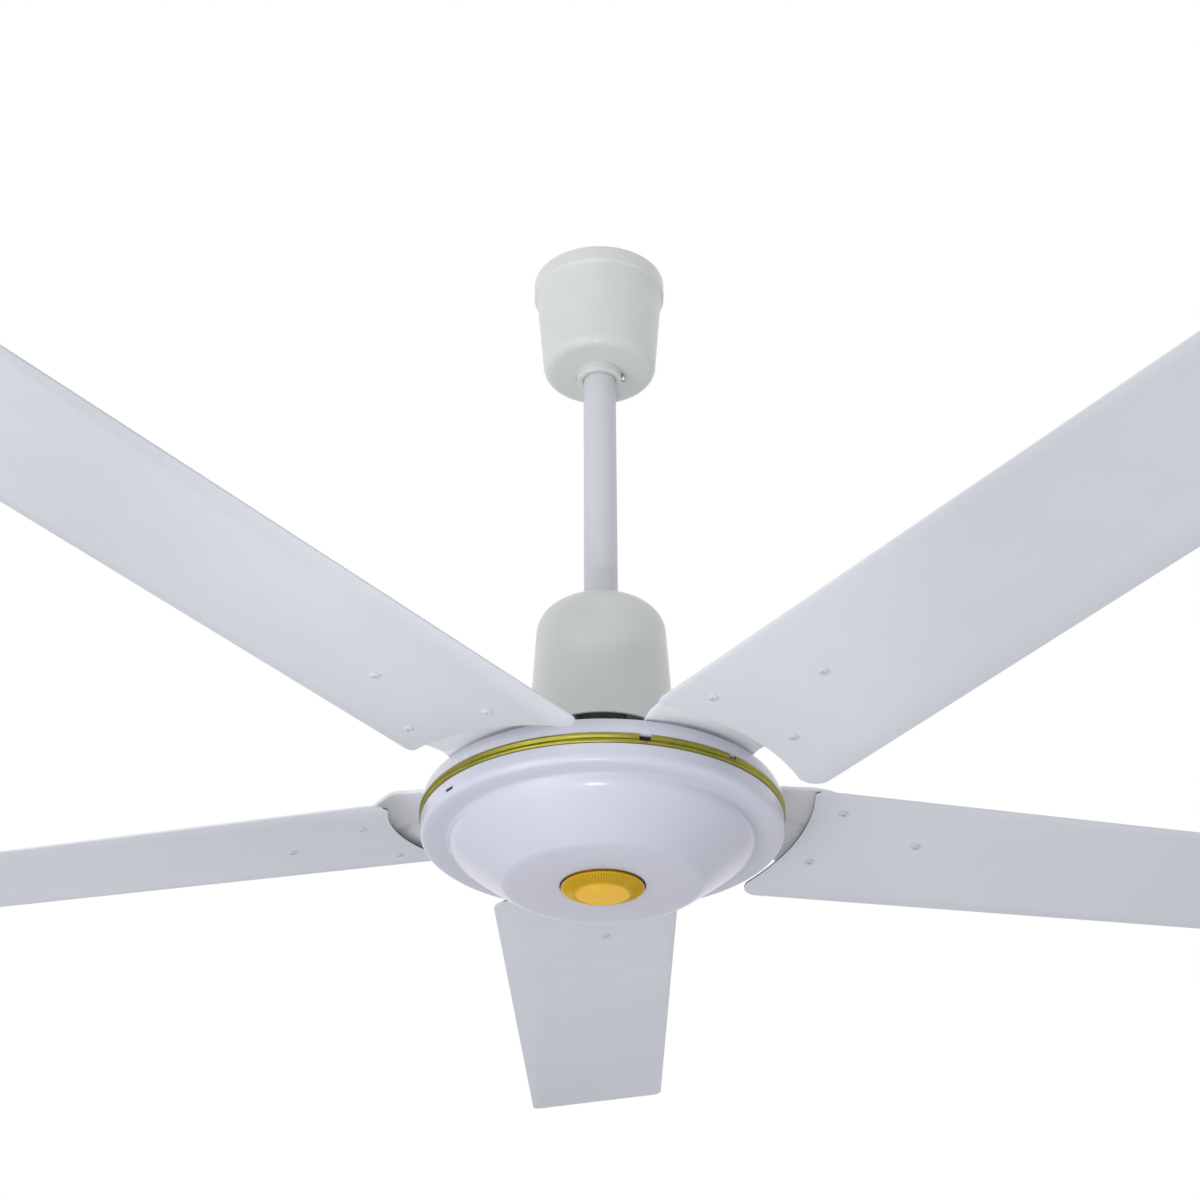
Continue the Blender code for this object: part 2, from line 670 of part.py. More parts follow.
def build_set_screw(stem, height, mats, parent):
    """Make the screw that holds a canopy on the rod, pointing in along X."""
    head_seat = HUB_RADIUS + FIT_GAP
    rings = [
        circle(SET_SCREW_RADIUS, ROD_BORE_RADIUS, SCREW_SEGMENTS),
        circle(SET_SCREW_RADIUS, head_seat, SCREW_SEGMENTS),
        circle(SET_SCREW_HEAD_RADIUS, head_seat, SCREW_SEGMENTS),
        circle(SET_SCREW_HEAD_RADIUS, head_seat + SET_SCREW_HEAD_HEIGHT / 2, SCREW_SEGMENTS),
        circle(SET_SCREW_HEAD_RADIUS / 2, head_seat + SET_SCREW_HEAD_HEIGHT, SCREW_SEGMENTS),
    ]
    name = stem + "_screw"
    return make_object(name, lofted(name, rings), mats["zinc"], parent, (0, 0, height), ALONG_X)


def build_canopy(stem, profile, hub_height, mats, parent):
    """Turn a canopy and cut the hole for its set screw."""
    canopy = make_object(stem, turned(stem, profile, CANOPY_SEGMENTS), mats["canopy"], parent)
    hole_length = HUB_RADIUS - ROD_BORE_RADIUS + 2 * CUT_OVERRUN
    hole_centre = (HUB_RADIUS + ROD_BORE_RADIUS) / 2
    tool = rod_cutter(stem + "_screw_tool", SET_SCREW_RADIUS + FIT_GAP, hole_length,
                      (hole_centre, 0, hub_height), ALONG_X, parent)
    combine(canopy, tool)
    build_set_screw(stem, hub_height, mats, parent)


def build_upper_canopy(mats, carrier):
    """Make the ceiling cup: a rim band, a tapered wall, a round foot and a hub."""
    top = UPPER_CANOPY_HEIGHT
    band = top - UPPER_RIM_BAND
    step = band - CANOPY_STEP_HEIGHT
    corner = UPPER_CORNER_RADIUS
    inner_corner = corner - CANOPY_WALL
    outer = [(UPPER_RIM_RADIUS, top), (UPPER_RIM_RADIUS, band), (UPPER_NECK_RADIUS, step)]
    outer += corner_arc(UPPER_FOOT_RADIUS - corner, corner, corner, 0, -90, CORNER_STEPS)
    bore = running_bore(ROD_BORE_RADIUS, CANOPY_SEGMENTS)
    hub = [(HUB_RADIUS, 0), (HUB_RADIUS, -HUB_HEIGHT), (bore, -HUB_HEIGHT)]
    inner = [(bore, CANOPY_WALL)]
    inner += corner_arc(UPPER_FOOT_RADIUS - corner, corner, inner_corner, -90, 0, CORNER_STEPS)
    inner += [
        (UPPER_NECK_RADIUS - CANOPY_WALL, step),
        (UPPER_RIM_RADIUS - CANOPY_WALL, band),
        (UPPER_RIM_RADIUS - CANOPY_WALL, top),
    ]
    slide = make_empty("upper_canopy_axis", (0, 0, UPPER_FLOOR_Z - ROLLER_AXIS_Z), carrier)
    build_canopy("upper_canopy", outer + hub + inner, -HUB_HEIGHT / 2, mats, slide)


def build_lower_canopy(mats, carrier):
    """Make the cup over the coupling: a mouth, a straight wall and a round crown."""
    top = LOWER_CANOPY_HEIGHT
    corner = LOWER_CORNER_RADIUS
    inner_corner = corner - CANOPY_WALL
    outer = [(LOWER_MOUTH_RADIUS, 0)]
    outer += corner_arc(LOWER_SHOULDER_RADIUS - corner, top - corner, corner, 0, 90,
                        CROWN_STEPS + 1)
    bore = running_bore(ROD_BORE_RADIUS, CANOPY_SEGMENTS)
    hub = [(HUB_RADIUS, top), (HUB_RADIUS, top + HUB_HEIGHT), (bore, top + HUB_HEIGHT)]
    inner = [(bore, top - CANOPY_WALL)]
    inner += corner_arc(LOWER_SHOULDER_RADIUS - corner, top - corner, inner_corner, 90, 0,
                        CROWN_STEPS + 1)
    inner += [(LOWER_MOUTH_RADIUS - CANOPY_WALL, 0)]
    slide = make_empty("lower_canopy_axis", (0, 0, LOWER_MOUTH_Z - ROLLER_AXIS_Z), carrier)
    build_canopy("lower_canopy", outer + hub + inner, top + HUB_HEIGHT / 2, mats, slide)


def build_coupling(mats, swing):
    """Make the coupling between rod and shaft, with its flange, pin and rod bolt."""
    top = COUPLING_TOP_Z - ROLLER_AXIS_Z
    floor = SOCKET_FLOOR_Z - ROLLER_AXIS_Z
    bottom = COUPLING_BOTTOM_Z - ROLLER_AXIS_Z
    shaft_bore = JOURNAL_RADIUS + FIT_GAP
    shaft_end = bottom + COUPLING_SHAFT_DEPTH
    flange_top = bottom + COUPLING_FLANGE_HEIGHT
    profile = [
        (shaft_bore, bottom),
        (COUPLING_FLANGE_RADIUS, bottom),
        (COUPLING_FLANGE_RADIUS, flange_top),
        (COUPLING_RADIUS, flange_top),
        (COUPLING_RADIUS, top),
        (ROD_BORE_RADIUS, top),
        (ROD_BORE_RADIUS, floor),
        (SHAFT_BORE_RADIUS, floor),
        (SHAFT_BORE_RADIUS, shaft_end),
        (shaft_bore, shaft_end),
    ]
    coupling = make_object("rod_coupling", turned("rod_coupling", profile, ROD_SEGMENTS),
                           mats["steel"], swing)
    bolt_height = ROD_BOTTOM_BOLT_Z - ROLLER_AXIS_Z
    reach = 2 * (COUPLING_RADIUS + CUT_OVERRUN)
    bolt_tool = rod_cutter("coupling_bolt_tool", BOLT_HOLE_RADIUS, reach,
                           (0, 0, bolt_height), ALONG_Y, swing)
    combine(coupling, bolt_tool)
    pin_height = bottom + COUPLING_SHAFT_DEPTH / 2
    pin_tool = rod_cutter("coupling_pin_tool", COUPLING_PIN_RADIUS + FIT_GAP, reach,
                          (0, 0, pin_height), ALONG_X, swing)
    combine(coupling, pin_tool)
    pinned_bolt("rod_bottom", COUPLING_RADIUS, mats, swing, (0, 0, bolt_height), ALONG_Y)
    half = COUPLING_RADIUS - COUPLING_PIN_SHORTFALL
    pin_rings = [circle(COUPLING_PIN_RADIUS, -half, BOLT_SEGMENTS),
                 circle(COUPLING_PIN_RADIUS, half, BOLT_SEGMENTS)]
    make_object("coupling_pin", lofted("coupling_pin", pin_rings), mats["steel"], swing,
                (0, 0, pin_height), ALONG_X)
    return pin_tool


def build_shaft(mats, motor, pin_tool):
    """Make the fixed motor shaft: journals, shoulders, stator seat and wire bore."""
    bottom = LOWER_BEARING_BOTTOM
    bore_end = SHAFT_TOP - SHAFT_BORE_DEPTH
    seat_flange = STATOR_BOTTOM - FIT_GAP
    profile = [
        (0, bottom),
        (JOURNAL_RADIUS - SHAFT_CHAMFER, bottom),
        (JOURNAL_RADIUS, bottom + SHAFT_CHAMFER),
        (JOURNAL_RADIUS, LOWER_SHOULDER),
        (SHOULDER_RADIUS, LOWER_SHOULDER),
        (SHOULDER_RADIUS, seat_flange - STATOR_FLANGE_HEIGHT),
        (STATOR_FLANGE_RADIUS, seat_flange - STATOR_FLANGE_HEIGHT),
        (STATOR_FLANGE_RADIUS, seat_flange),
        (STATOR_SEAT_RADIUS, seat_flange),
        (STATOR_SEAT_RADIUS, STATOR_TOP),
        (SHOULDER_RADIUS, STATOR_TOP),
        (SHOULDER_RADIUS, UPPER_SHOULDER),
        (JOURNAL_RADIUS, UPPER_SHOULDER),
        (JOURNAL_RADIUS, SHAFT_TOP),
        (SHAFT_BORE_RADIUS, SHAFT_TOP),
        (SHAFT_BORE_RADIUS, bore_end),
        (0, bore_end),
    ]
    shaft = make_object("motor_shaft", turned("motor_shaft", profile, ROD_SEGMENTS),
                        mats["steel"], motor)
    combine(shaft, pin_tool)


def build_wiring_parts(mats, swing):
    """Make the tray on the coupling's flange with the capacitor and terminal block."""
    seat = COUPLING_BOTTOM_Z + COUPLING_FLANGE_HEIGHT + FIT_GAP - ROLLER_AXIS_Z
    hole = COUPLING_RADIUS + FIT_GAP
    profile = [
        (hole, seat),
        (TRAY_RADIUS, seat),
        (TRAY_RADIUS, seat + TRAY_RIM_HEIGHT),
        (TRAY_RADIUS - TRAY_SHEET, seat + TRAY_RIM_HEIGHT),
        (TRAY_RADIUS - TRAY_SHEET, seat + TRAY_SHEET),
        (hole, seat + TRAY_SHEET),
    ]
    make_object("capacitor_tray", turned("capacitor_tray", profile, ROD_SEGMENTS),
                mats["zinc"], swing)
    floor = seat + TRAY_SHEET + FIT_GAP
    middle = (hole + TRAY_RADIUS - TRAY_SHEET) / 2
    body_top = floor + CAPACITOR_HEIGHT
    rings = [
        rounded_rectangle(CAPACITOR_DEPTH, CAPACITOR_WIDTH, CAPACITOR_CORNER, floor),
        rounded_rectangle(CAPACITOR_DEPTH, CAPACITOR_WIDTH, CAPACITOR_CORNER,
                          body_top - CAPACITOR_CORNER / 2),
        rounded_rectangle(CAPACITOR_DEPTH - CAPACITOR_CORNER, CAPACITOR_WIDTH - CAPACITOR_CORNER,
                          CAPACITOR_CORNER / 2, body_top),
    ]
    make_object("capacitor", lofted("capacitor", rings), mats["capacitor"], swing,
                (-middle, 0, 0))
    make_object("terminal_block", terminal_block_mesh(floor), mats["block"], swing,
                (middle, 0, 0))


def terminal_block_mesh(floor):
    """Make a strip of screw towers with notches between them."""
    pitch = BLOCK_TOWER_WIDTH + BLOCK_NOTCH_WIDTH
    start = -(BLOCK_TOWERS * pitch - BLOCK_NOTCH_WIDTH) / 2
    base_top = floor + BLOCK_BASE_HEIGHT
    tower_top = base_top + BLOCK_TOWER_HEIGHT
    outline = [(start, floor)]
    for index in range(BLOCK_TOWERS):
        low = start + index * pitch
        if index:
            outline.append((low, base_top))
        outline.append((low, tower_top))
        outline.append((low + BLOCK_TOWER_WIDTH, tower_top))
        if index < BLOCK_TOWERS - 1:
            outline.append((low + BLOCK_TOWER_WIDTH, base_top))
    outline.append((-start, floor))
    rings = [[(side * BLOCK_DEPTH / 2, along, height) for along, height in outline]
             for side in (-1, 1)]
    return lofted("terminal_block", rings)


def build_top_cover(mats, rotor):
    """Turn the upper housing cover: skirt, shoulder, iron seat, bearing boss, rotor rib."""
    lip = JOINT_GAP / 2
    band = TRIM_HEIGHT / 2 + FIT_GAP
    under = TOP_COVER_HEIGHT - COVER_WALL
    rib_inner = ROTOR_RADIUS + FIT_GAP
    rib_outer = rib_inner + COVER_WALL
    profile = [(TRIM_SEAT_RADIUS, lip), (TRIM_SEAT_RADIUS, band), (MOTOR_RADIUS, band)]
    profile += [(MOTOR_RADIUS * wide, TOP_COVER_HEIGHT * high)
                for wide, high in TOP_SHOULDER_SHARES]
    profile += [
        (BOSS_RADIUS + BOSS_FILLET, TOP_COVER_HEIGHT),
        (BOSS_RADIUS, TOP_COVER_HEIGHT + BOSS_FILLET),
        (BOSS_RADIUS, BOSS_TOP),
        (BOSS_MOUTH_RADIUS, BOSS_TOP),
        (BOSS_MOUTH_RADIUS, BOSS_TOP - COVER_WALL),
        (POCKET_RADIUS, BOSS_TOP - COVER_WALL),
        (POCKET_RADIUS, under),
        (rib_inner, under),
        (rib_inner, -SEAT_RIB_DEPTH),
        (rib_outer, -SEAT_RIB_DEPTH),
        (rib_outer, under),
        (COVER_BORE_RADIUS - COVER_WALL, under),
        (COVER_BORE_RADIUS, under - COVER_WALL),
        (COVER_BORE_RADIUS, lip),
    ]
    make_object("top_cover", turned("top_cover", profile, COVER_SEGMENTS), mats["housing"], rotor)


def build_bottom_cover(mats, rotor):
    """Turn the dome: skirt, groove, bulge, nose, cap recess and bearing pocket."""
    lip = -JOINT_GAP / 2
    band = -TRIM_HEIGHT / 2 - FIT_GAP
    recess_wall = CAP_RECESS_RADIUS + CAP_RECESS_WALL
    recess_back = CAP_SEAT + COVER_WALL
    pocket_top = LOWER_BEARING_BOTTOM + BEARING_WIDTH
    profile = [(TRIM_SEAT_RADIUS, lip), (TRIM_SEAT_RADIUS, band), (MOTOR_RADIUS, band)]
    profile += [(MOTOR_RADIUS * wide, -DOME_DEPTH * deep) for wide, deep in DOME_OUTER_SHARES]
    profile += [
        (CAP_RECESS_RADIUS, -DOME_DEPTH),
        (CAP_RECESS_RADIUS, CAP_SEAT),
        (0, CAP_SEAT),
    ]
    inside = [
        (0, POCKET_FLOOR),
        (POCKET_RADIUS, POCKET_FLOOR),
        (POCKET_RADIUS, pocket_top),
        (POCKET_WALL_RADIUS, pocket_top),
        (POCKET_WALL_RADIUS, recess_back),
        (recess_wall, recess_back),
        (recess_wall, -DOME_DEPTH + COVER_WALL),
    ]
    inside += [(MOTOR_RADIUS * wide, -DOME_DEPTH * deep) for wide, deep in DOME_INNER_SHARES]
    inside += [(COVER_BORE_RADIUS, -DOME_DEPTH * DOME_SKIRT_SHARE), (COVER_BORE_RADIUS, lip)]
    mesh = turned("bottom_cover", inside + profile, COVER_SEGMENTS)
    make_object("bottom_cover", mesh, mats["housing"], rotor)


def build_trim_ring(mats, rotor):
    """Bend the beaded trim band round the joint of the covers, with a gap at its ends."""
    inner = TRIM_SEAT_RADIUS + FIT_GAP
    thin = TRIM_THICKNESS - FIT_GAP
    edge = inner + thin * TRIM_EDGE_SHARE
    bead = inner + thin
    valley = inner + thin * TRIM_VALLEY_SHARE
    half = TRIM_HEIGHT / 2
    bead_height = half * 2 * TRIM_BEAD_SHARE
    profile = [
        (inner, -half), (edge, -half), (bead, -bead_height), (valley, 0),
        (bead, bead_height), (edge, half), (inner, half),
    ]
    ring = make_object("trim_ring", turned("trim_ring", profile, COVER_SEGMENTS),
                       mats["brass"], rotor)
    depth = 2 * CUT_OVERRUN + TRIM_THICKNESS
    tool_rings = [rectangle(depth, TRIM_JOINT_WIDTH, side * (half + CUT_OVERRUN))
                  for side in (-1, 1)]
    place = (inner * math.cos(TRIM_JOINT_AZIMUTH), inner * math.sin(TRIM_JOINT_AZIMUTH), 0)
    tool = make_object("trim_joint_tool", lofted("trim_joint_tool", tool_rings), None, rotor,
                       place, (0, 0, TRIM_JOINT_AZIMUTH))
    combine(ring, hidden(tool))


def build_centre_cap(mats, rotor):
    """Make the fluted cap that plugs the nose of the dome."""
    back = CAP_SEAT - FIT_GAP
    rim = -DOME_DEPTH - CAP_RIM_STAND
    face = -DOME_DEPTH - CAP_STAND
    count = 2 * CAP_FLUTES

    def fluted(radius, height):
        """Return a ring whose every other point is sunk."""
        points = []
        for index in range(count):
            turn = math.tau * index / count
            sunk = radius - CAP_FLUTE_DEPTH * (index % 2)
            points.append((sunk * math.cos(turn), sunk * math.sin(turn), height))
        return points

    rings = [
        circle(CAP_RADIUS, back, count),
        circle(CAP_RADIUS, rim, count),
        fluted(CAP_RADIUS - CAP_FLUTE_DEPTH, rim - CAP_FLUTE_DEPTH),
        fluted(CAP_FACE_RADIUS + CAP_FLUTE_DEPTH, face + CAP_FLUTE_DEPTH),
        circle(CAP_FACE_RADIUS - CAP_FLUTE_DEPTH, face, count),
    ]
    make_object("centre_cap", lofted("centre_cap", rings), mats["amber"], rotor)


def build_bearings(mats, motor, rotor):
    """Make the two ball bearings, each an inner race and a shielded outer race."""
    inner_bore = JOURNAL_RADIUS + FIT_GAP
    outer_bore = running_bore(BEARING_RACE_SPLIT + FIT_GAP, ROD_SEGMENTS)
    lower_top = LOWER_BEARING_BOTTOM + BEARING_WIDTH
    upper_bottom = UPPER_BEARING_TOP - BEARING_WIDTH
    for level, low, high in (("lower", LOWER_BEARING_BOTTOM, lower_top),
                             ("upper", upper_bottom, UPPER_BEARING_TOP)):
        for race, near, far, carrier in (("inner", inner_bore, BEARING_RACE_SPLIT, motor),
                                         ("outer", outer_bore, BEARING_RADIUS, rotor)):
            name = "bearing_" + level + "_" + race
            profile = [(near, low), (far, low), (far, high), (near, high)]
            make_object(name, turned(name, profile, ROD_SEGMENTS), mats["steel"], carrier)


def stator_outline(height):
    """Return the outline of the laminations, a slot between every two teeth."""
    points = []
    pitch = math.tau / STATOR_SLOTS
    floor_radius = STATOR_RADIUS - SLOT_DEPTH
    for index in range(STATOR_SLOTS):
        middle = pitch * index
        half_mouth = pitch * SLOT_OPEN_SHARE / 2
        half_floor = pitch * SLOT_FLOOR_SHARE / 2
        for radius, turn in ((STATOR_RADIUS, middle - half_mouth), (floor_radius, middle - half_floor),
                             (floor_radius, middle + half_floor), (STATOR_RADIUS, middle + half_mouth)):
            points.append((radius * math.cos(turn), radius * math.sin(turn), height))
    return points


def build_stator(mats, motor):
    """Make the slotted core and the two winding crowns that stand on it."""
    outline = stator_outline(STATOR_BOTTOM)
    bore = STATOR_SEAT_RADIUS + FIT_GAP
    hole = []
    for x, y, height in outline:
        turn = math.atan2(y, x)
        hole.append((bore * math.cos(turn), bore * math.sin(turn), height))
    rings = [outline, stator_outline(STATOR_TOP), raised(hole, STATOR_STACK), hole]
    make_object("stator_core", lofted("stator_core", rings, closed=True), mats["steel"], motor)
    for name, seat, way in (("winding_upper", STATOR_TOP + FIT_GAP, 1),
                            ("winding_lower", STATOR_BOTTOM - FIT_GAP, -1)):
        make_object(name, winding_mesh(name, seat, way), mats["copper"], motor)


def raised(points, rise):
    """Return points moved up."""
    return [(x, y, z + rise) for x, y, z in points]


def winding_mesh(name, seat, way):
    """Make a crown of end turns, full over each coil and lower between coils."""
    middle = (WINDING_INNER_RADIUS + WINDING_OUTER_RADIUS) / 2
    rings = []
    for index in range(WINDING_STEPS):
        turn = math.tau * index / WINDING_STEPS
        full = 1 if index % 2 else WINDING_SAG_SHARE
        top = WINDING_HEIGHT * full
        inner = middle + (WINDING_INNER_RADIUS - middle) * full
        outer = middle + (WINDING_OUTER_RADIUS - middle) * full
        section = [(inner, 0), (outer, 0), (outer, top / 2), (middle, top), (inner, top / 2)]
        rings.append([(radius * math.cos(turn), radius * math.sin(turn), seat + way * rise)
                      for radius, rise in section])
    return lofted(name, rings, closed=True)


def build_rotor_core(mats, rotor):
    """Make the squirrel-cage ring that sits in the top cover's rib."""
    inner = running_bore(STATOR_RADIUS + AIR_GAP, COVER_SEGMENTS)
    middle = -STATOR_CENTRE_DROP
    low = middle - ROTOR_STACK / 2
    high = middle + ROTOR_STACK / 2
    profile = [(inner, low), (ROTOR_RADIUS, low), (ROTOR_RADIUS, high), (inner, high)]
    make_object("rotor_core", turned("rotor_core", profile, COVER_SEGMENTS), mats["steel"], rotor)


def blade_height(along, lead):
    """Return the height of the blade's plane at a place on it."""
    rise = (along - BLADE_ROOT_RADIUS) * math.tan(BLADE_RISE)
    return BLADE_ROOT_HEIGHT + rise + lead * math.tan(BLADE_PITCH)


def crease_line(along):
    """Return how far behind the radial line the crease lies."""
    share = (along - BLADE_ROOT_RADIUS) / (BLADE_TIP_LEAD_RADIUS - BLADE_ROOT_RADIUS)
    return -BLADE_CREASE_ROOT - (BLADE_CREASE_TIP - BLADE_CREASE_ROOT) * share


def blade_outline():
    """Return the flat blade's corners as (along, lead), the root edge as an arc."""
    lead_turn = math.asin(BLADE_ROOT_LEAD / BLADE_ROOT_RADIUS)
    trail_turn = math.asin((BLADE_ROOT_TRAIL - BLADE_ROOT_TRAIL_SETBACK) / BLADE_ROOT_RADIUS)
    points = []
    for step in range(ROOT_ARC_STEPS + 1):
        turn = lead_turn - (lead_turn + trail_turn) * step / ROOT_ARC_STEPS
        points.append((BLADE_ROOT_RADIUS * math.cos(turn), BLADE_ROOT_RADIUS * math.sin(turn)))
    points.append((BLADE_ROOT_RADIUS * math.cos(trail_turn), -BLADE_ROOT_TRAIL))
    points.append((BLADE_TIP_TRAIL_RADIUS, -BLADE_TIP_TRAIL))
    points.append((BLADE_TIP_LEAD_RADIUS, BLADE_TIP_LEAD))
    return points


def blade_screw_frames():
    """Return the three screw places on a blade, Z square to its underside."""
    places = (
        (INNER_SCREW_RADIUS, INNER_SCREW_OFFSET),
        (INNER_SCREW_RADIUS, -INNER_SCREW_OFFSET),
        (OUTER_SCREW_RADIUS, 0),
    )
    normal = Vector((-math.tan(BLADE_RISE), math.tan(BLADE_PITCH), 1)).normalized()
    turn = Vector((0, 0, 1)).rotation_difference(normal).to_matrix().to_4x4()
    frames = []
    for along, lead in places:
        spot = Vector((along, -lead, blade_height(along, lead)))
        frames.append(Matrix.Translation(spot) @ turn)
    return frames


def drill(obj, depth):
    """Cut the three screw holes of a blade or an iron."""
    tools = []
    for index, frame in enumerate(blade_screw_frames()):
        tool = rod_cutter("drill_" + str(index), BLADE_SCREW_RADIUS + BLADE_SCREW_PLAY, depth,
                          (0, 0, 0), count=SCREW_SEGMENTS)
        tool.matrix_world = frame
        combine(obj, tool)
        tools.append(tool)
    return tools


def finished(obj, tools, name):
    """Apply an object's modifiers, clear its tools away and return a smooth mesh."""
    mesh = evaluated_mesh(obj, name)
    for tool in tools:
        bpy.data.objects.remove(tool, do_unlink=True)
    mesh.materials.clear()
    mesh.shade_smooth()
    mesh.set_sharp_from_angle(angle=SHARP_ANGLE)
    return mesh


def thickened(mesh, sheet, name):
    """Return an object that gives a sheet its thickness, half on each side."""
    sheet_object = make_object(name, mesh)
    modifier = sheet_object.modifiers.new("sheet", "SOLIDIFY")
    modifier.thickness = sheet
    modifier.offset = 0
    modifier.use_even_offset = True
    return sheet_object


def blade_mesh():
    """Cut the blade's outline, round its corners, crease it, pitch it and drill it."""
    bm = bmesh.new()
    outline = blade_outline()
    corners = [bm.verts.new((along, -lead, 0)) for along, lead in outline]
    bm.faces.new(corners)
    rounds = (
        (corners[0], BLADE_LEAD_CORNER),
        (corners[-3], BLADE_TRAIL_CORNER),
        (corners[-2], BLADE_TIP_CORNER),
        (corners[-1], BLADE_TIP_CORNER),
    )
    for corner, radius in rounds:
        bmesh.ops.bevel(bm, geom=[corner], offset=radius, segments=CORNER_STEPS,
                        profile=ROUND_PROFILE, affect="VERTICES")
    start = Vector((BLADE_ROOT_RADIUS, -crease_line(BLADE_ROOT_RADIUS), 0))
    end = Vector((BLADE_TIP_LEAD_RADIUS, -crease_line(BLADE_TIP_LEAD_RADIUS), 0))
    across = Vector((0, 0, 1)).cross(end - start).normalized()
    everything = list(bm.verts) + list(bm.edges) + list(bm.faces)
    bmesh.ops.bisect_plane(bm, geom=everything, dist=MERGE_DISTANCE, plane_co=start, plane_no=across)
    for vert in bm.verts:
        beyond = max(0, (vert.co - start).dot(across))
        vert.co.z = blade_height(vert.co.x, -vert.co.y) - beyond * math.tan(BLADE_CREASE_ANGLE)
    bmesh.ops.recalc_face_normals(bm, faces=bm.faces)
    mesh = bpy.data.meshes.new("blade_sheet")
    bm.to_mesh(mesh)
    bm.free()
    sheet = thickened(mesh, BLADE_SHEET, "blade_sheet")
    tools = drill(sheet, 2 * BLADE_SCREW_LENGTH)
    return finished(sheet, tools, "blade")


def iron_height(along, lead):
    """Return the middle of the iron's sheet: flat on the motor, then on the blade."""
    flat = TOP_COVER_HEIGHT + FIT_GAP + IRON_SHEET / 2
    stack = (BLADE_SHEET / 2 + FIT_GAP + IRON_SHEET / 2) / math.cos(BLADE_PITCH)
    seated = blade_height(along, lead) + stack + IRON_SEAT_SLACK
    share = (along - IRON_BEND_START) / (IRON_BEND_END - IRON_BEND_START)
    share = min(1, max(0, share))
    blend = share * share * (3 - 2 * share)
    return flat + (seated - flat) * blend


def iron_stations():
    """Return the iron's stations as (radius, half width, rib share)."""
    stations = []
    for start, end, table in ((IRON_INNER_RADIUS, IRON_BEND_START, IRON_SEAT_SHARES),
                              (IRON_BEND_START, IRON_BEND_END, IRON_BEND_SHARES),
                              (IRON_BEND_END, IRON_OUTER_RADIUS, IRON_TAIL_SHARES)):
        for along_share, wide_share, rib_share in table:
            along = start + (end - start) * along_share
            stations.append((along, IRON_HALF_WIDTH * wide_share, rib_share))
    return stations


def iron_mesh():
    """Press the iron: a fan-shaped plate with a rib, bent down on to the blade."""
    bm = bmesh.new()
    rows = []
    for along, wide, rib_share in iron_stations():
        rib = min(IRON_RIB_HALF_WIDTH, wide / 2)
        row = []
        for lead in (-wide, -rib, 0, rib, wide):
            height = iron_height(along, lead)
            if lead == 0:
                height += IRON_RIB_HEIGHT * rib_share
            row.append(bm.verts.new((along, -lead, height)))
        rows.append(row)
    for near, far in zip(rows, rows[1:]):
        for column in range(len(near) - 1):
            bm.faces.new((near[column], near[column + 1], far[column + 1], far[column]))
    bmesh.ops.recalc_face_normals(bm, faces=bm.faces)
    mesh = bpy.data.meshes.new("iron_sheet")
    bm.to_mesh(mesh)
    bm.free()
    sheet = thickened(mesh, IRON_SHEET, "iron_sheet")
    tools = drill(sheet, 2 * BLADE_SCREW_LENGTH)
    return finished(sheet, tools, "blade_iron")


def blade_screw_mesh():
    """Make a dome-headed screw whose head lies under the blade."""
    seat = -BLADE_SHEET / 2 - FIT_GAP
    rings = [
        circle(BLADE_SCREW_HEAD_RADIUS / 2, seat - BLADE_SCREW_HEAD_HEIGHT, SCREW_SEGMENTS),
        circle(BLADE_SCREW_HEAD_RADIUS, seat, SCREW_SEGMENTS),
        circle(BLADE_SCREW_RADIUS, seat, SCREW_SEGMENTS),
        circle(BLADE_SCREW_RADIUS, seat + BLADE_SCREW_LENGTH, SCREW_SEGMENTS),
    ]
    return lofted("blade_screw", rings)


def build_blades(mats, rotor):
    """Place the five irons and blades, with three screws in each."""
    iron = iron_mesh()
    blade = blade_mesh()
    screw = blade_screw_mesh()
    frames = blade_screw_frames()
    for index in range(BLADE_COUNT):
        number = str(index + 1)
        azimuth = BLADE_FIRST_AZIMUTH + math.tau * index / BLADE_COUNT
        turn = (0, 0, azimuth)
        make_object("blade_iron_" + number, iron.copy(), mats["white"], rotor, turn=turn)
        make_object("blade_" + number, blade.copy(), mats["blade"], rotor, turn=turn)
        for letter, frame in zip("abc", frames):
            placed = Matrix.Rotation(azimuth, 4, "Z") @ frame
            make_object("blade_screw_" + number + letter, screw.copy(), mats["white"], rotor,
                        placed.to_translation(), placed.to_euler())


def make_materials():
    """Return the fan's finishes by name."""
    return {
        "white": make_material("white_enamel", (0.62, 0.62, 0.66), 0.35, 0.0),
        "blade": make_material("blade_enamel", (0.60, 0.61, 0.66), 0.42, 0.0),
        "housing": make_material("housing_enamel", (0.64, 0.64, 0.70), 0.18, 0.0),
        "canopy": make_material("canopy_plastic", (0.62, 0.66, 0.63), 0.38, 0.0),
        "brass": make_material("trim_gold", (0.62, 0.58, 0.14), 0.22, 1.0),
        "amber": make_material("amber_plastic", (0.95, 0.55, 0.02), 0.20, 0.0),
        "zinc": make_material("zinc_plate", (0.60, 0.61, 0.62), 0.35, 1.0),
        "steel": make_material("bright_steel", (0.52, 0.53, 0.55), 0.30, 1.0),
        "copper": make_material("winding_copper", (0.62, 0.28, 0.14), 0.40, 1.0),
        "rubber": make_material("black_rubber", (0.03, 0.03, 0.03), 0.70, 0.0),
        "capacitor": make_material("capacitor_case", (0.80, 0.80, 0.76), 0.45, 0.0),
        "block": make_material("terminal_plastic", (0.75, 0.72, 0.62), 0.50, 0.0),
    }


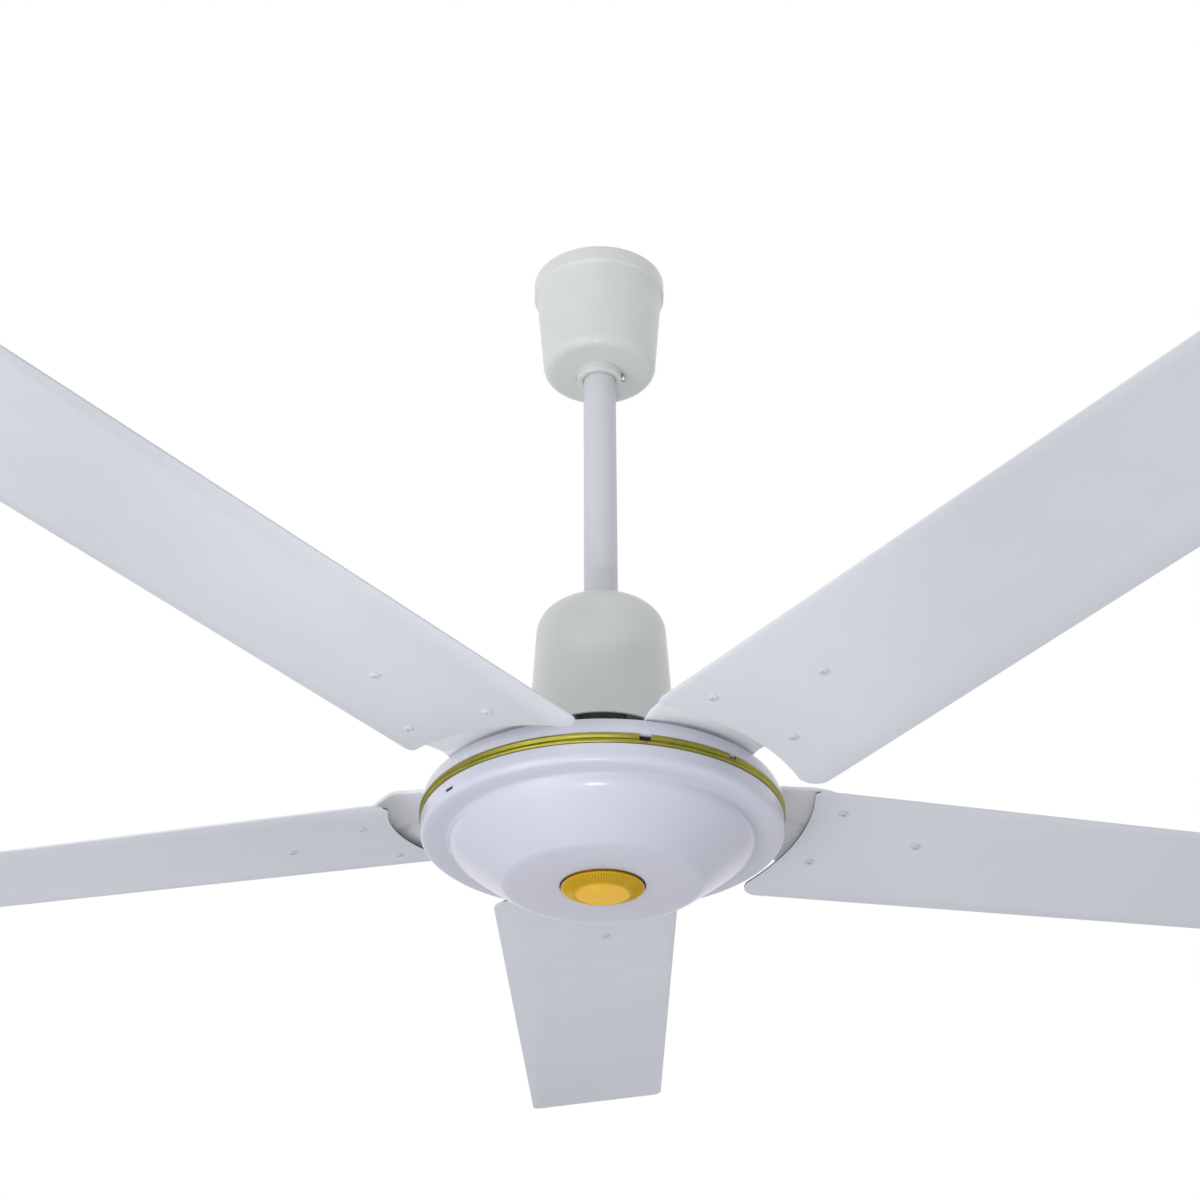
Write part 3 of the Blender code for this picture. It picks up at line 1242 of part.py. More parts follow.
def main():
    """Build the fan from the hook down."""
    clear_scene()
    mats = make_materials()
    swing = make_empty("rod_swing_axis", (0, 0, ROLLER_AXIS_Z))
    motor = make_empty("motor_datum", (0, 0, MOTOR_Z - ROLLER_AXIS_Z), swing)
    rotor = make_empty("rotor_axis", (0, 0, 0), motor)
    build_roller(mats)
    build_shackle(mats, swing)
    build_downrod(mats, swing)
    build_upper_canopy(mats, swing)
    build_lower_canopy(mats, swing)
    pin_tool = build_coupling(mats, swing)
    build_shaft(mats, motor, pin_tool)
    build_wiring_parts(mats, swing)
    build_bearings(mats, motor, rotor)
    build_stator(mats, motor)
    build_rotor_core(mats, rotor)
    build_top_cover(mats, rotor)
    build_bottom_cover(mats, rotor)
    build_trim_ring(mats, rotor)
    build_centre_cap(mats, rotor)
    build_blades(mats, rotor)


main()
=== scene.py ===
"""Dress a ceiling fan round its packed frame.

The packed model gives the place of every piece. Smooth shells, pressed irons, creased
blades, ribs and screws are made round it here, each with its own procedural finish.
Units are metres and +Z is up; the fan hangs from its ceiling hook at the origin.
"""
import math

import bmesh
import bpy
from mathutils import Matrix, Vector


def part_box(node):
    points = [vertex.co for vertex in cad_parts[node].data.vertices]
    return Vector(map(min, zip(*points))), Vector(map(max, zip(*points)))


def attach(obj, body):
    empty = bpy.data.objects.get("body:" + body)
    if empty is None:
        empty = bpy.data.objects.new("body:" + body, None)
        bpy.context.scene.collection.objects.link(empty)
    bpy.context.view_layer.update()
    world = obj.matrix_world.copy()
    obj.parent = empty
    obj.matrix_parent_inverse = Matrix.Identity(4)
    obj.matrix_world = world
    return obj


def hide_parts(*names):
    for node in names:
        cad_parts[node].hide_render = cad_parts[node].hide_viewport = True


bl_info = {
    "name": "Ceiling Fan",
    "version": (1, 0, 0),
    "blender": (4, 5, 0),
    "location": "View3D > Sidebar > Fan",
    "description": "Dresses a ceiling fan with shells, blades, irons, screws and finishes",
    "category": "Object",
}

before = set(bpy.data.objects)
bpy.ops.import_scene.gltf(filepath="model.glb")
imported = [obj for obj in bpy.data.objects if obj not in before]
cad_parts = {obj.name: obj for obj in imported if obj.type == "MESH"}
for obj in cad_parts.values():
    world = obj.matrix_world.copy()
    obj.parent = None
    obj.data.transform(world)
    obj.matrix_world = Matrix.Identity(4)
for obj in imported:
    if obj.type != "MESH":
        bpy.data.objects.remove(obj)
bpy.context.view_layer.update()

# Places that the frame gives
TRIM_LOW, TRIM_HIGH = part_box("trim_ring")
UPPER_LOW, UPPER_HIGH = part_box("upper_canopy")
ROD_LOW, ROD_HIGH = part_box("downrod")
ROLLER_LOW, ROLLER_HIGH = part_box("hanger_roller")
LOWER_MOUTH_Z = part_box("lower_canopy")[0].z
MOTOR_Z = (TRIM_LOW.z + TRIM_HIGH.z) / 2
MOTOR_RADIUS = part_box("bottom_cover")[1].x
ROD_RADIUS = ROD_HIGH.x

# Fits
FIT_GAP = 0.0003
BORE_RADIUS = ROD_RADIUS + FIT_GAP
SMOOTH_ANGLE = math.radians(38)
MERGE_REACH = 0.000001
TURN_SEGMENTS = 144
TRIM_SEGMENTS = 192
ROLLER_SEGMENTS = 96
SMALL_SEGMENTS = 48
SCREW_SEGMENTS = 32
SIDEWAYS = Matrix.Rotation(math.radians(90), 4, "Y")

# Rod and hanger
ROD_WALL = 0.0022
ROLLER_BORE = 0.0044
ROLLER_RADIUS = 0.015
ROLLER_GROOVE = 0.009
ROLLER_LIP = 0.004
HANGER_EASE = 0.0004
COUPLING_EASE = 0.0005

# Upper canopy, counted up from its floor
UPPER_HEIGHT = 0.0862
UPPER_BAND = 0.0125
UPPER_NECK_RADIUS = 0.0490
UPPER_FOOT_RADIUS = 0.0436
UPPER_CORNER = 0.0075
CANOPY_STEP = 0.0018
CANOPY_WALL = 0.0022
HUB_RADIUS = 0.0172
HUB_HEIGHT = 0.0068

# Lower canopy, counted up from its mouth
LOWER_HEIGHT = 0.1091
LOWER_MOUTH_RADIUS = 0.0527
LOWER_SHOULDER_RADIUS = 0.0473
LOWER_CORNER = 0.0206

# Covers, counted from the plane where they meet
TOP_COVER_HEIGHT = 0.017
BOSS_HEIGHT = 0.021
BOSS_RADIUS = 0.0238
BOSS_MOUTH_RADIUS = 0.012
DOME_DEPTH = 0.050
COVER_WALL = 0.003
DOME_WALL = 0.0024
SEAT_SHARE = 0.900
SEAT_STEP = 0.0007
JOINT_GAP = 0.0003
TRIM_SEAT_RADIUS = MOTOR_RADIUS - 0.0009
TOP_SHOULDER = ((0.998, 0.52), (0.990, 0.70), (0.976, 0.88), (0.957, 0.96))
DOME_OUTER = (
    (0.999, 0.170), (1.000, 0.250), (0.992, 0.305), (0.974, 0.328), (0.940, 0.330), (0.890, 0.318),
    (0.858, 0.314), (0.845, 0.335), (0.836, 0.400), (0.818, 0.465), (0.788, 0.535), (0.745, 0.620),
    (0.690, 0.727), (0.640, 0.820), (0.595, 0.902), (0.562, 0.957), (0.545, 0.983), (0.520, 1.000))

# Trim band
TRIM_HEIGHT = 0.0070
TRIM_THICKNESS = 0.0019
TRIM_BEAD = 0.0008
TRIM_GROOVE = 0.0007
TRIM_JOINT_WIDTH = 0.0006
TRIM_NOTCH_FOOT = -0.0018
TRIM_JOINT_AZIMUTH = math.radians(-77.0)
TRIM_NOTCH_WIDTH = 0.0085
TRIM_NICK_AZIMUTH = math.radians(-47)
TRIM_NICK_WIDTH = 0.0050

# Pockets in the covers, each with a black sheet at its back as painted shade: name, azimuth, width,
# foot, top, radius of their mouth, depth
POCKETS = (
    ("joint_pocket", TRIM_JOINT_AZIMUTH, TRIM_NOTCH_WIDTH, TRIM_NOTCH_FOOT,
     TRIM_HEIGHT / 2 - FIT_GAP, TRIM_SEAT_RADIUS, 0.0026),
    ("clip_pocket", TRIM_NICK_AZIMUTH, TRIM_NICK_WIDTH, FIT_GAP,
     TRIM_HEIGHT / 2 - FIT_GAP, TRIM_SEAT_RADIUS, 0.0026),
    ("skirt_slot", math.radians(-143.7), 0.0085, -0.0128, -0.0104, MOTOR_RADIUS, 0.0013),
)
# Thickness of the black sheet that paints the shade at the back of each pocket
POCKET_SHADE_SHEET = 0.0004

# Centre cap
CAP_RADIUS = 0.0288
CAP_BODY_RADIUS = 0.0264
CAP_RECESS_RADIUS = 0.0295
CAP_SEAT_DEPTH = 0.006
CAP_STAND = 0.0065
CAP_RIM_GAP = 0.0010
CAP_RIM_HEIGHT = 0.0009
CAP_FACE_RADIUS = 0.0182

# Blades about each blade's own radial line
BLADE_FIRST_AZIMUTH = math.radians(89.6)
BLADE_ROOT_RADIUS = 0.150
BLADE_ROOT_HEIGHT = 0.0083
BLADE_TIP_LEAD_RADIUS = 0.6997
BLADE_TIP_TRAIL_RADIUS = 0.6927
BLADE_ROOT_LEAD = 0.057
BLADE_ROOT_TRAIL = 0.083
BLADE_ROOT_SETBACK = 0.015
BLADE_ROOT_REACH = 0.0015
BLADE_TIP_LEAD = 0.050
BLADE_TIP_TRAIL = 0.073
BLADE_CREASE_ROOT = 0.040
BLADE_CREASE_TIP = 0.063
BLADE_CREASE_ANGLE = math.radians(2.2)
BLADE_CREASE_WIDTH = 0.010
BLADE_LEAD_CORNER = 0.009
BLADE_TRAIL_CORNER = 0.013
BLADE_TIP_CORNER = 0.008
BLADE_EDGE_REACH = 0.003
BLADE_EASE = 0.0003

# Blade irons
IRON_INNER_RADIUS = 0.064
IRON_OUTER_RADIUS = 0.250
IRON_HALF_WIDTH = 0.0525
IRON_RIB_HALF_WIDTH = 0.008
IRON_JOG_START = MOTOR_RADIUS * SEAT_SHARE
IRON_JOG_END = IRON_JOG_START + 0.004
IRON_JOG = 0.0020
IRON_RIB_START = 0.36
IRON_RIB_FULL = 0.44
IRON_RIB_WANE = 0.80
IRON_RIB_END = 0.90
IRON_OUTLINE_EASE = 0.012
IRON_BEND_START = MOTOR_RADIUS + 0.0075
IRON_BEND_END = BLADE_ROOT_RADIUS + 0.014
IRON_SEAT_SLACK = 0.0001
IRON_EASE = 0.0005
IRON_OUTLINE = (
    (0.000, 0.38), (0.022, 0.50), (0.260, 0.86), (0.350, 0.90), (0.412, 0.97), (0.475, 1.00),
    (0.538, 0.92), (0.650, 0.68), (0.770, 0.44), (0.910, 0.26), (1.000, 0.11))
IRON_ROWS = 72
IRON_COLUMNS = 22

# Screws
BLADE_SCREW_HEAD = 0.0037
BLADE_SCREW_RISE = 0.0016
INNER_SCREW_RADIUS = 0.168
INNER_SCREW_OFFSET = 0.033
OUTER_SCREW_RADIUS = 0.238
IRON_SCREW_HEAD = 0.0056
IRON_SCREW_RISE = 0.0034
IRON_SCREW_RADIUS = 0.092
IRON_SCREW_OFFSET = 0.020
SCREW_SHANK_SHARE = 0.46
SCREW_SHANK_LENGTH = 0.0040
SCREW_RIM_SHARE = 0.12
SCREW_CROSS_SHARE = 0.20
SET_SCREW_RADIUS = 0.0018
SET_SCREW_HEAD = 0.0034
SET_SCREW_RISE = 0.0024
SET_SCREW_SLOT = (0.008, 0.0009, 0.0018)

# Finishes
DUST_AMOUNT = 0.15
SHADE = 0.93
# Near-black painted shade on the blade's root cut edge, standing for the shadow in the gap under
# the iron
ROOT_EDGE_SHADE = (0.10, 0.10, 0.11, 1)
PLASTIC_REACH = (0.005, 0.005, 0.005)
AMBER_REACH = (0.004, 0.0022, 0.0004)
# Colour multiplied into the cap's fluted ring; between the ribs it is painted shade of the gaps
AMBER_RING_DARKENING = (0.50, 0.55, 0.8, 1)

# Lamps, floor and the camera fitted to the photo
KEY_PLACE = (-2.05, -2.45, -1.15)
KEY_SIZE = 2.2
LIFT_PLACE = (-1.0, -0.8, -2.0)
LIFT_SIZE = 1.3
SPOT_PLACE = (-0.15, -1.25, -1.7)
SPOT_TARGET = (0, 0, -0.07)
SPOT_ANGLE = math.radians(6.5)
FLOOR_SIZE = 14.0
CAMERA_PLACE = (0, -1.4261, -1.1097)
CAMERA_LENS = 67.695
CAMERA_SHIFT = (-0.00104, 0.0360)


# Properties


def number(name, description, default, **kind):
    """Return a number that a user may change."""
    return bpy.props.FloatProperty(name=name, description=description, default=default, **kind)


def length(name, description, default):
    """Return a length that a user may change."""
    return number(name, description, default, unit="LENGTH")


def angle(name, description, degrees):
    """Return an angle that a user may change."""
    return number(name, description, math.radians(degrees), subtype="ANGLE")


def hue(name, description, default):
    """Return a colour that a user may change."""
    return bpy.props.FloatVectorProperty(
        name=name, description=description, default=default, min=0.0, max=1.0, subtype="COLOR")


class FanShape(bpy.types.PropertyGroup):
    """Sizes of the fan that a user may change."""

    blade_count: bpy.props.IntProperty(
        name="Blades", description="How many blades and irons stand round the motor",
        default=5, min=2, max=8)
    blade_pitch: angle("Blade Pitch", "Turn of each blade about its own length", 7.5)
    blade_rise: angle("Blade Rise", "Slope of each blade up to its tip", 2.0)
    blade_sheet: length("Blade Sheet", "Thickness of the blade's sheet metal", 0.0012)
    iron_sheet: length("Iron Sheet", "Thickness of the iron's sheet metal", 0.0025)
    rib_height: length("Iron Rib", "Height of the rib pressed along each iron", 0.0026)
    cap_ribs: bpy.props.IntProperty(
        name="Cap Ribs", description="How many ribs stand round the centre cap",
        default=84, min=8, max=120)
    cap_rib_width: length("Cap Rib Width", "Width of one rib of the centre cap", 0.0011)


class FanFinish(bpy.types.PropertyGroup):
    """Colours of the fan that a user may change."""

    housing: hue("Housing", "Enamel of the two motor covers", (0.605, 0.605, 0.70))
    blades: hue("Blades", "Enamel of the blades", (0.70, 0.72, 0.77))
    rod: hue("Rod", "Enamel of rod and blade screws", (0.605, 0.62, 0.65))
    # The irons wear the rod's white enamel; their colour is set lighter as painted light, to make
    # up for the shade they lie in
    irons: hue("Irons", "Enamel of the blade irons", (0.82, 0.83, 0.86))
    canopies: hue("Canopies", "Moulded plastic of the canopies", (0.64, 0.66, 0.632))
    trim: hue("Trim", "Gold-coloured trim band", (0.35, 0.325, 0.055))
    cap: hue("Cap", "Amber plastic of the centre cap", (0.97, 0.55, 0.003))
    dust: hue("Dust", "Dust that has settled on upward faces", (0.44, 0.42, 0.38))


class FanStage(bpy.types.PropertyGroup):
    """Light, floor and camera."""

    floor_drop: length("Floor Drop", "How far the floor lies below the hook", 2.45)
    world_level: number("Sky Level", "Strength of the even light", 0.715, min=0.0)
    key_power: number("Key Power", "Soft lamp at the front left", 37.0, unit="POWER")
    lift_power: number("Lift Power", "Soft lamp under the fan", 4.5, unit="POWER")
    canopy_power: number("Canopy Power", "Lamp on the upper canopy", 130.0, unit="POWER")
    camera_pitch: angle("Camera Pitch", "How far the camera looks up", 29.55)
    camera_roll: angle("Camera Roll", "Turn of the camera about its view", -0.35)


# Meshes


def smooth_mesh(bm, name):
    """Return a bmesh as a smooth mesh with sharp edges where it turns."""
    mesh = bpy.data.meshes.new(name)
    bm.to_mesh(mesh)
    bm.free()
    mesh.shade_smooth()
    mesh.set_sharp_from_angle(angle=SMOOTH_ANGLE)
    return mesh


def closed_mesh(bm, name):
    """Merge a bmesh, turn its faces out and return it as a smooth mesh."""
    bmesh.ops.remove_doubles(bm, verts=bm.verts, dist=MERGE_REACH)
    bmesh.ops.recalc_face_normals(bm, faces=bm.faces)
    return smooth_mesh(bm, name)


def put(name, data, material=None):
    """Link a mesh, lamp or camera as an object at the origin."""
    obj = bpy.data.objects.new(name, data)
    bpy.context.scene.collection.objects.link(obj)
    if material is not None:
        data.materials.clear()
        data.materials.append(material)
    return obj


def baked(obj, name=None):
    """Apply an object's modifiers, mark its sharp edges and return it as a plain object."""
    graph = bpy.context.evaluated_depsgraph_get()
    graph.update()
    mesh = bpy.data.meshes.new_from_object(obj.evaluated_get(graph), depsgraph=graph)
    mesh.set_sharp_from_angle(angle=SMOOTH_ANGLE)
    obj.modifiers.clear()
    obj.data = mesh
    if name is not None:
        obj.name = name
        mesh.name = name
    return obj


def settle(obj, body, slot, *nodes):
    """Let a piece ride on its body and stand for frame nodes. The slot is not used."""
    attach(obj, body)
    if nodes:
        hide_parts(*nodes)


def rounded(points, steps=5):
    """Round the corners of a profile of (radius, height) or (radius, height, corner) points.

    A point without a corner stays sharp, and no corner reaches more than 0.49 of the way to
    the next point.
    """
    count = len(points)
    result = []
    for index, (radius, height, *corner) in enumerate(points):
        here = Vector((radius, height))
        before = Vector(points[index - 1][:2])
        after = Vector(points[(index + 1) % count][:2])
        back = before - here
        ahead = after - here
        if not corner or back.length == 0 or ahead.length == 0:
            result.append((here.x, here.y))
            continue
        turn = back.angle(ahead)
        reach = corner[0] / max(0.05, math.tan(turn / 2))
        reach = min(reach, 0.49 * back.length, 0.49 * ahead.length)
        start = here + back.normalized() * reach
        end = here + ahead.normalized() * reach
        for step in range(steps + 1):
            share = step / steps
            point = start.lerp(here, share).lerp(here.lerp(end, share), share)
            result.append((point.x, point.y))
    return result


def eased(points, steps=6):
    """Return a smooth line through (radius, height) points."""
    padded = [points[0], *points, points[-1]]
    result = []
    for index in range(1, len(padded) - 2):
        p0, p1, p2, p3 = (Vector(padded[index + k]) for k in (-1, 0, 1, 2))
        for step in range(steps):
            t = step / steps
            point = 0.5 * (2 * p1 + (p2 - p0) * t + (2 * p0 - 5 * p1 + 4 * p2 - p3) * t * t
                           + (3 * p1 - p0 - 3 * p2 + p3) * t * t * t)
            result.append((point.x, point.y))
    return result + [points[-1]]


def turned(name, profile, segments=TURN_SEGMENTS, height=0.0):
    """Turn a closed or axis-to-axis profile of (radius, height) points about Z."""
    bm = bmesh.new()
    verts = [bm.verts.new((radius, 0, rise + height)) for radius, rise in profile]
    edges = [bm.edges.new(pair) for pair in zip(verts, verts[1:])]
    if profile[0][0] > 0:
        edges.append(bm.edges.new((verts[-1], verts[0])))
    bmesh.ops.spin(bm, geom=verts + edges, cent=(0, 0, 0), axis=(0, 0, 1),
                   angle=math.tau, steps=segments, use_merge=True)
    return closed_mesh(bm, name)


def arc(centre_radius, centre_height, radius, start_deg, end_deg, steps):
    """Return profile points round a corner."""
    points = []
    for step in range(steps + 1):
        turn = math.radians(start_deg + (end_deg - start_deg) * step / steps)
        points.append((centre_radius + radius * math.cos(turn),
                       centre_height + radius * math.sin(turn)))
    return points


def box_mesh(name, size, matrix):
    """Return a block of a size, placed by a matrix."""
    bm = bmesh.new()
    bmesh.ops.create_cube(bm, size=1.0)
    bmesh.ops.scale(bm, verts=bm.verts, vec=size)
    bmesh.ops.transform(bm, verts=bm.verts, matrix=matrix)
    return closed_mesh(bm, name)


def cut(obj, tool_mesh):
    """Cut a tool's mesh from an object."""
    tool = put(obj.name + "_tool", tool_mesh)
    obj.modifiers.new("cut", "BOOLEAN").object = tool
    baked(obj)
    bpy.data.objects.remove(tool, do_unlink=True)
    obj.data.shade_smooth()
    obj.data.set_sharp_from_angle(angle=SMOOTH_ANGLE)


def bevelled(obj, width, degrees):
    """Ease the edges that turn by more than an angle, and apply the modifiers."""
    ease = obj.modifiers.new("ease", "BEVEL")
    ease.width = width
    ease.segments = 2
    ease.limit_method = "ANGLE"
    ease.angle_limit = math.radians(degrees)
    return baked(obj)


def share_of(value, low, high):
    """Return how far a value lies from one limit to another, from 0 to 1."""
    return min(1.0, max(0.0, (value - low) / (high - low)))


# Node trees


def fill(tree, made, values):
    """Set a node's inputs by name or number: values are stored, sockets are linked."""
    for key, value in values.items():
        if isinstance(value, bpy.types.NodeSocket):
            tree.links.new(value, made.inputs[key])
        else:
            made.inputs[key].default_value = value


def node(tree, kind, values=None, output=0, **settings):
    """Add a node with its options and inputs, and return one of its outputs.

    A kind of shader node is given without the ShaderNode at its front.
    """
    made = tree.nodes.new(kind if "Node" in kind else "ShaderNode" + kind)
    for key, value in settings.items():
        setattr(made, key, value)
    fill(tree, made, values or {})
    return made.outputs[output]


def maths(tree, operation, first, second):
    """Add a Math node on two values or sockets."""
    return node(tree, "Math", {0: first, 1: second}, operation=operation)


def ranged(tree, value, low, high, new_low=0.0, new_high=1.0):
    """Add a node that maps one range on to another."""
    return node(tree, "MapRange", {
        "Value": value, "From Min": low, "From Max": high, "To Min": new_low, "To Max": new_high})


def mixed(tree, share, first, second, blend="MIX"):
    """Add a node that mixes two colours."""
    return node(tree, "Mix", {"Factor": share, "A": first, "B": second}, "Result",
                data_type="RGBA", blend_type=blend)


def on_object(tree):
    """Add a place on the object's own axes."""
    return node(tree, "TexCoord", output="Object")


def noise_on_object(tree, scale, detail, roughness):
    """Add noise that stays with the object."""
    return node(tree, "TexNoise", {
        "Vector": on_object(tree), "Scale": scale, "Detail": detail, "Roughness": roughness})


def repeated(tree, piece, count, first):
    """Repeat a piece about Z in even turns, the first at a turn of its own."""
    step = maths(tree, "DIVIDE", math.tau, count)
    turn = maths(tree, "MULTIPLY", node(tree, "GeometryNodeInputIndex"), step)
    turn = maths(tree, "ADD", turn, first)
    return node(tree, "GeometryNodeInstanceOnPoints", {
        "Points": node(tree, "GeometryNodePoints", {"Count": count}), "Instance": piece,
        "Rotation": node(tree, "CombineXYZ", {"Z": turn})})


def as_mesh(tree, instances, given):
    """Close a geometry tree with Realize Instances and Set Material."""
    real = node(tree, "GeometryNodeRealizeInstances", {"Geometry": instances})
    return {"Geometry": node(tree, "GeometryNodeSetMaterial", {
        "Geometry": real, "Material": given["Material"]})}


def round_nodes(tree, given):
    """Repeat a piece round the motor's axis."""
    copies = repeated(tree, given["Geometry"], given["Count"], given["First Turn"])
    return as_mesh(tree, copies, given)


def screw_nodes(tree, given):
    """Set a screw on every seat, square to the seat's facing."""
    screw = node(tree, "GeometryNodeObjectInfo", {"Object": given["Screw"]}, "Geometry")
    facing = node(tree, "GeometryNodeInputNamedAttribute", {"Name": "facing"}, "Attribute",
                  data_type="FLOAT_VECTOR")
    align = node(tree, "FunctionNodeAlignRotationToVector", {"Vector": facing}, axis="Z")
    chance = node(tree, "FunctionNodeRandomValue", {3: given["Twist"], "Seed": given["Seed"]}, 1,
                  data_type="FLOAT")
    about = node(tree, "CombineXYZ", {"Z": chance})
    twist = node(tree, "FunctionNodeRotateRotation", {"Rotation": align, "Rotate By": about},
                 rotation_space="LOCAL")
    return as_mesh(tree, node(tree, "GeometryNodeInstanceOnPoints", {
        "Points": given["Geometry"], "Instance": screw, "Rotation": twist}), given)


def rib_nodes(tree, given):
    """Stand ribs round the centre cap."""
    line = node(tree, "GeometryNodeCurvePrimitiveLine", {
        "Start": given["Inner"], "End": given["Outer"]})
    ring = node(tree, "GeometryNodeCurvePrimitiveCircle", {
        "Resolution": 8, "Radius": given["Rib Radius"]})
    rib = node(tree, "GeometryNodeCurveToMesh", {
        "Curve": line, "Profile Curve": ring, "Fill Caps": True})
    join = tree.nodes.new("GeometryNodeJoinGeometry")
    for geometry in (repeated(tree, rib, given["Count"], 0.0), given["Geometry"]):
        tree.links.new(geometry, join.inputs[0])
    return as_mesh(tree, join.outputs[0], given)


def tone_nodes(tree, given):
    """Let a colour drift gently over a surface."""
    noise = noise_on_object(tree, given["Scale"], 4.0, 0.55)
    share = maths(tree, "MULTIPLY", ranged(tree, noise, 0.35, 0.68), given["Amount"])
    return {"Color": mixed(tree, share, given["Color"], given["Second Color"])}


def dust_nodes(tree, given):
    """Lay dust on faces that look up."""
    facing = node(tree, "NewGeometry", output="True Normal")
    up = ranged(tree, node(tree, "SeparateXYZ", {0: facing}, "Z"), 0.35, 0.95)
    patch = ranged(tree, noise_on_object(tree, 34.0, 6.0, 0.6), 0.30, 0.75)
    mask = maths(tree, "MULTIPLY", maths(tree, "MULTIPLY", up, patch), given["Amount"])
    return {"Color": mixed(tree, mask, given["Color"], given["Dust Color"]),
            "Roughness": ranged(tree, mask, 0.0, 1.0, given["Roughness"], 0.85)}


def gloss_nodes(tree, given):
    """Let the gloss vary between two roughness values."""
    noise = noise_on_object(tree, given["Scale"], 5.0, 0.6)
    return {"Roughness": ranged(tree, noise, 0.3, 0.7, given["Low"], given["High"])}


def bump_of(tree, height, given):
    """Add a bump with the depth and strength that a group is given."""
    return {"Normal": node(tree, "Bump", {
        "Height": height, "Distance": given["Depth"], "Strength": given["Strength"]})}


def skin_nodes(tree, given):
    """Give a coat its fine skin, such as orange peel."""
    return bump_of(tree, noise_on_object(tree, given["Scale"], 2.0, 0.5), given)


def lathe_nodes(tree, given):
    """Draw fine rings about Z, as a lathe or a die leaves them."""
    rings = node(tree, "TexWave", {
        "Vector": on_object(tree), "Scale": given["Scale"], "Distortion": 0.6, "Detail": 2.0},
        "Fac", wave_type="RINGS", rings_direction="Z")
    return bump_of(tree, rings, given)


# Node trees by name: what fills them, their inputs and their outputs
GEOMETRY = {"Geometry": "Geometry"}
RELIEF = {"Scale": "Float", "Depth": "Float", "Strength": "Float"}
TREES = {
    "repeat_round_axis": (round_nodes, {"Count": "Int", "First Turn": "Float"}, GEOMETRY),
    "screws_on_seats": (
        screw_nodes, {"Screw": "Object", "Twist": "Float", "Seed": "Int"}, GEOMETRY),
    "ribs_round_cap": (rib_nodes, {
        "Count": "Int", "Inner": "Vector", "Outer": "Vector", "Rib Radius": "Float"}, GEOMETRY),
    "drifting_tone": (tone_nodes, {
        "Color": "Color", "Second Color": "Color", "Scale": "Float", "Amount": "Float"},
        {"Color": "Color"}),
    "settled_dust": (dust_nodes, {
        "Color": "Color", "Dust Color": "Color", "Amount": "Float", "Roughness": "Float"},
        {"Color": "Color", "Roughness": "Float"}),
    "uneven_gloss": (
        gloss_nodes, {"Low": "Float", "High": "Float", "Scale": "Float"}, {"Roughness": "Float"}),
    "fine_skin": (skin_nodes, RELIEF, {"Normal": "Vector"}),
    "lathe_rings": (lathe_nodes, RELIEF, {"Normal": "Vector"}),
}


def shared_tree(name):
    """Return a node tree of the table, built when it is first asked for."""
    if name in bpy.data.node_groups:
        return bpy.data.node_groups[name]
    maker, inputs, outputs = TREES[name]
    if outputs is GEOMETRY:
        inputs = {**GEOMETRY, **inputs, "Material": "Material"}
    tree = bpy.data.node_groups.new(
        name, "GeometryNodeTree" if outputs is GEOMETRY else "ShaderNodeTree")
    for way, sockets in (("INPUT", inputs), ("OUTPUT", outputs)):
        for label, kind in sockets.items():
            tree.interface.new_socket(label, in_out=way, socket_type="NodeSocket" + kind)
    given = tree.nodes.new("NodeGroupInput").outputs
    fill(tree, tree.nodes.new("NodeGroupOutput"), maker(tree, given))
    return tree


def grown(obj, tree_name, values, name):
    """Run a geometry tree on an object and keep the result as a plain mesh."""
    modifier = obj.modifiers.new("grow", "NODES")
    modifier.node_group = shared_tree(tree_name)
    for item in modifier.node_group.interface.items_tree:
        if item.in_out == "INPUT" and item.name in values:
            modifier[item.identifier] = values[item.name]
    return baked(obj, name)


# Finishes


def rgba(colour, level=1.0):
    """Return a colour with its alpha, scaled by a level."""
    return (colour[0] * level, colour[1] * level, colour[2] * level, 1.0)


def grouped(tree, name, values):
    """Place a shared group in a material with its own values, and return its outputs."""
    made = tree.nodes.new("ShaderNodeGroup")
    made.node_tree = shared_tree(name)
    fill(tree, made, values)
    return made.outputs


def tone(tree, colour, second, scale, amount=0.5):
    """Add a drifting tone. The second colour may be a shade of the first, as a number."""
    second = rgba(colour, second) if isinstance(second, float) else rgba(second)
    return grouped(tree, "drifting_tone", {
        "Color": rgba(colour), "Second Color": second, "Scale": scale, "Amount": amount})["Color"]


def shine(tree, gloss, scale):
    """Add a roughness that varies between two values."""
    return grouped(tree, "uneven_gloss", {
        "Low": gloss[0], "High": gloss[1], "Scale": scale})["Roughness"]


def relief(tree, group, values):
    """Add a fine relief with its scale, depth and strength."""
    return grouped(tree, group, dict(zip(("Scale", "Depth", "Strength"), values)))["Normal"]


def enamel(tree, colour, gloss, peel, coat, drift, specular, cut_edge=None):
    """Make stove enamel: drifting tone, uneven gloss, orange peel, dust on top, and painted shade
    on a sheet's cut edge when a shade colour is given.
    """
    colour_out = tone(tree, colour, SHADE, 7.0, drift)
    # Painted shade: the marked cut-edge faces are mixed towards a dark colour
    if cut_edge is not None:
        edge_shade_mask = node(tree, "Attribute", output="Fac", attribute_name="cut_edge")
        colour_out = mixed(tree, edge_shade_mask, colour_out, cut_edge)
    dusty = grouped(tree, "settled_dust", {
        "Color": colour_out, "Roughness": shine(tree, gloss, 26.0),
        "Dust Color": rgba(bpy.context.scene.fan_finish.dust), "Amount": DUST_AMOUNT})
    return {
        "Coat Weight": coat, "Coat Roughness": gloss[0], "Specular IOR Level": specular,
        "Base Color": dusty["Color"], "Roughness": dusty["Roughness"],
        "Normal": relief(tree, "fine_skin", peel)}


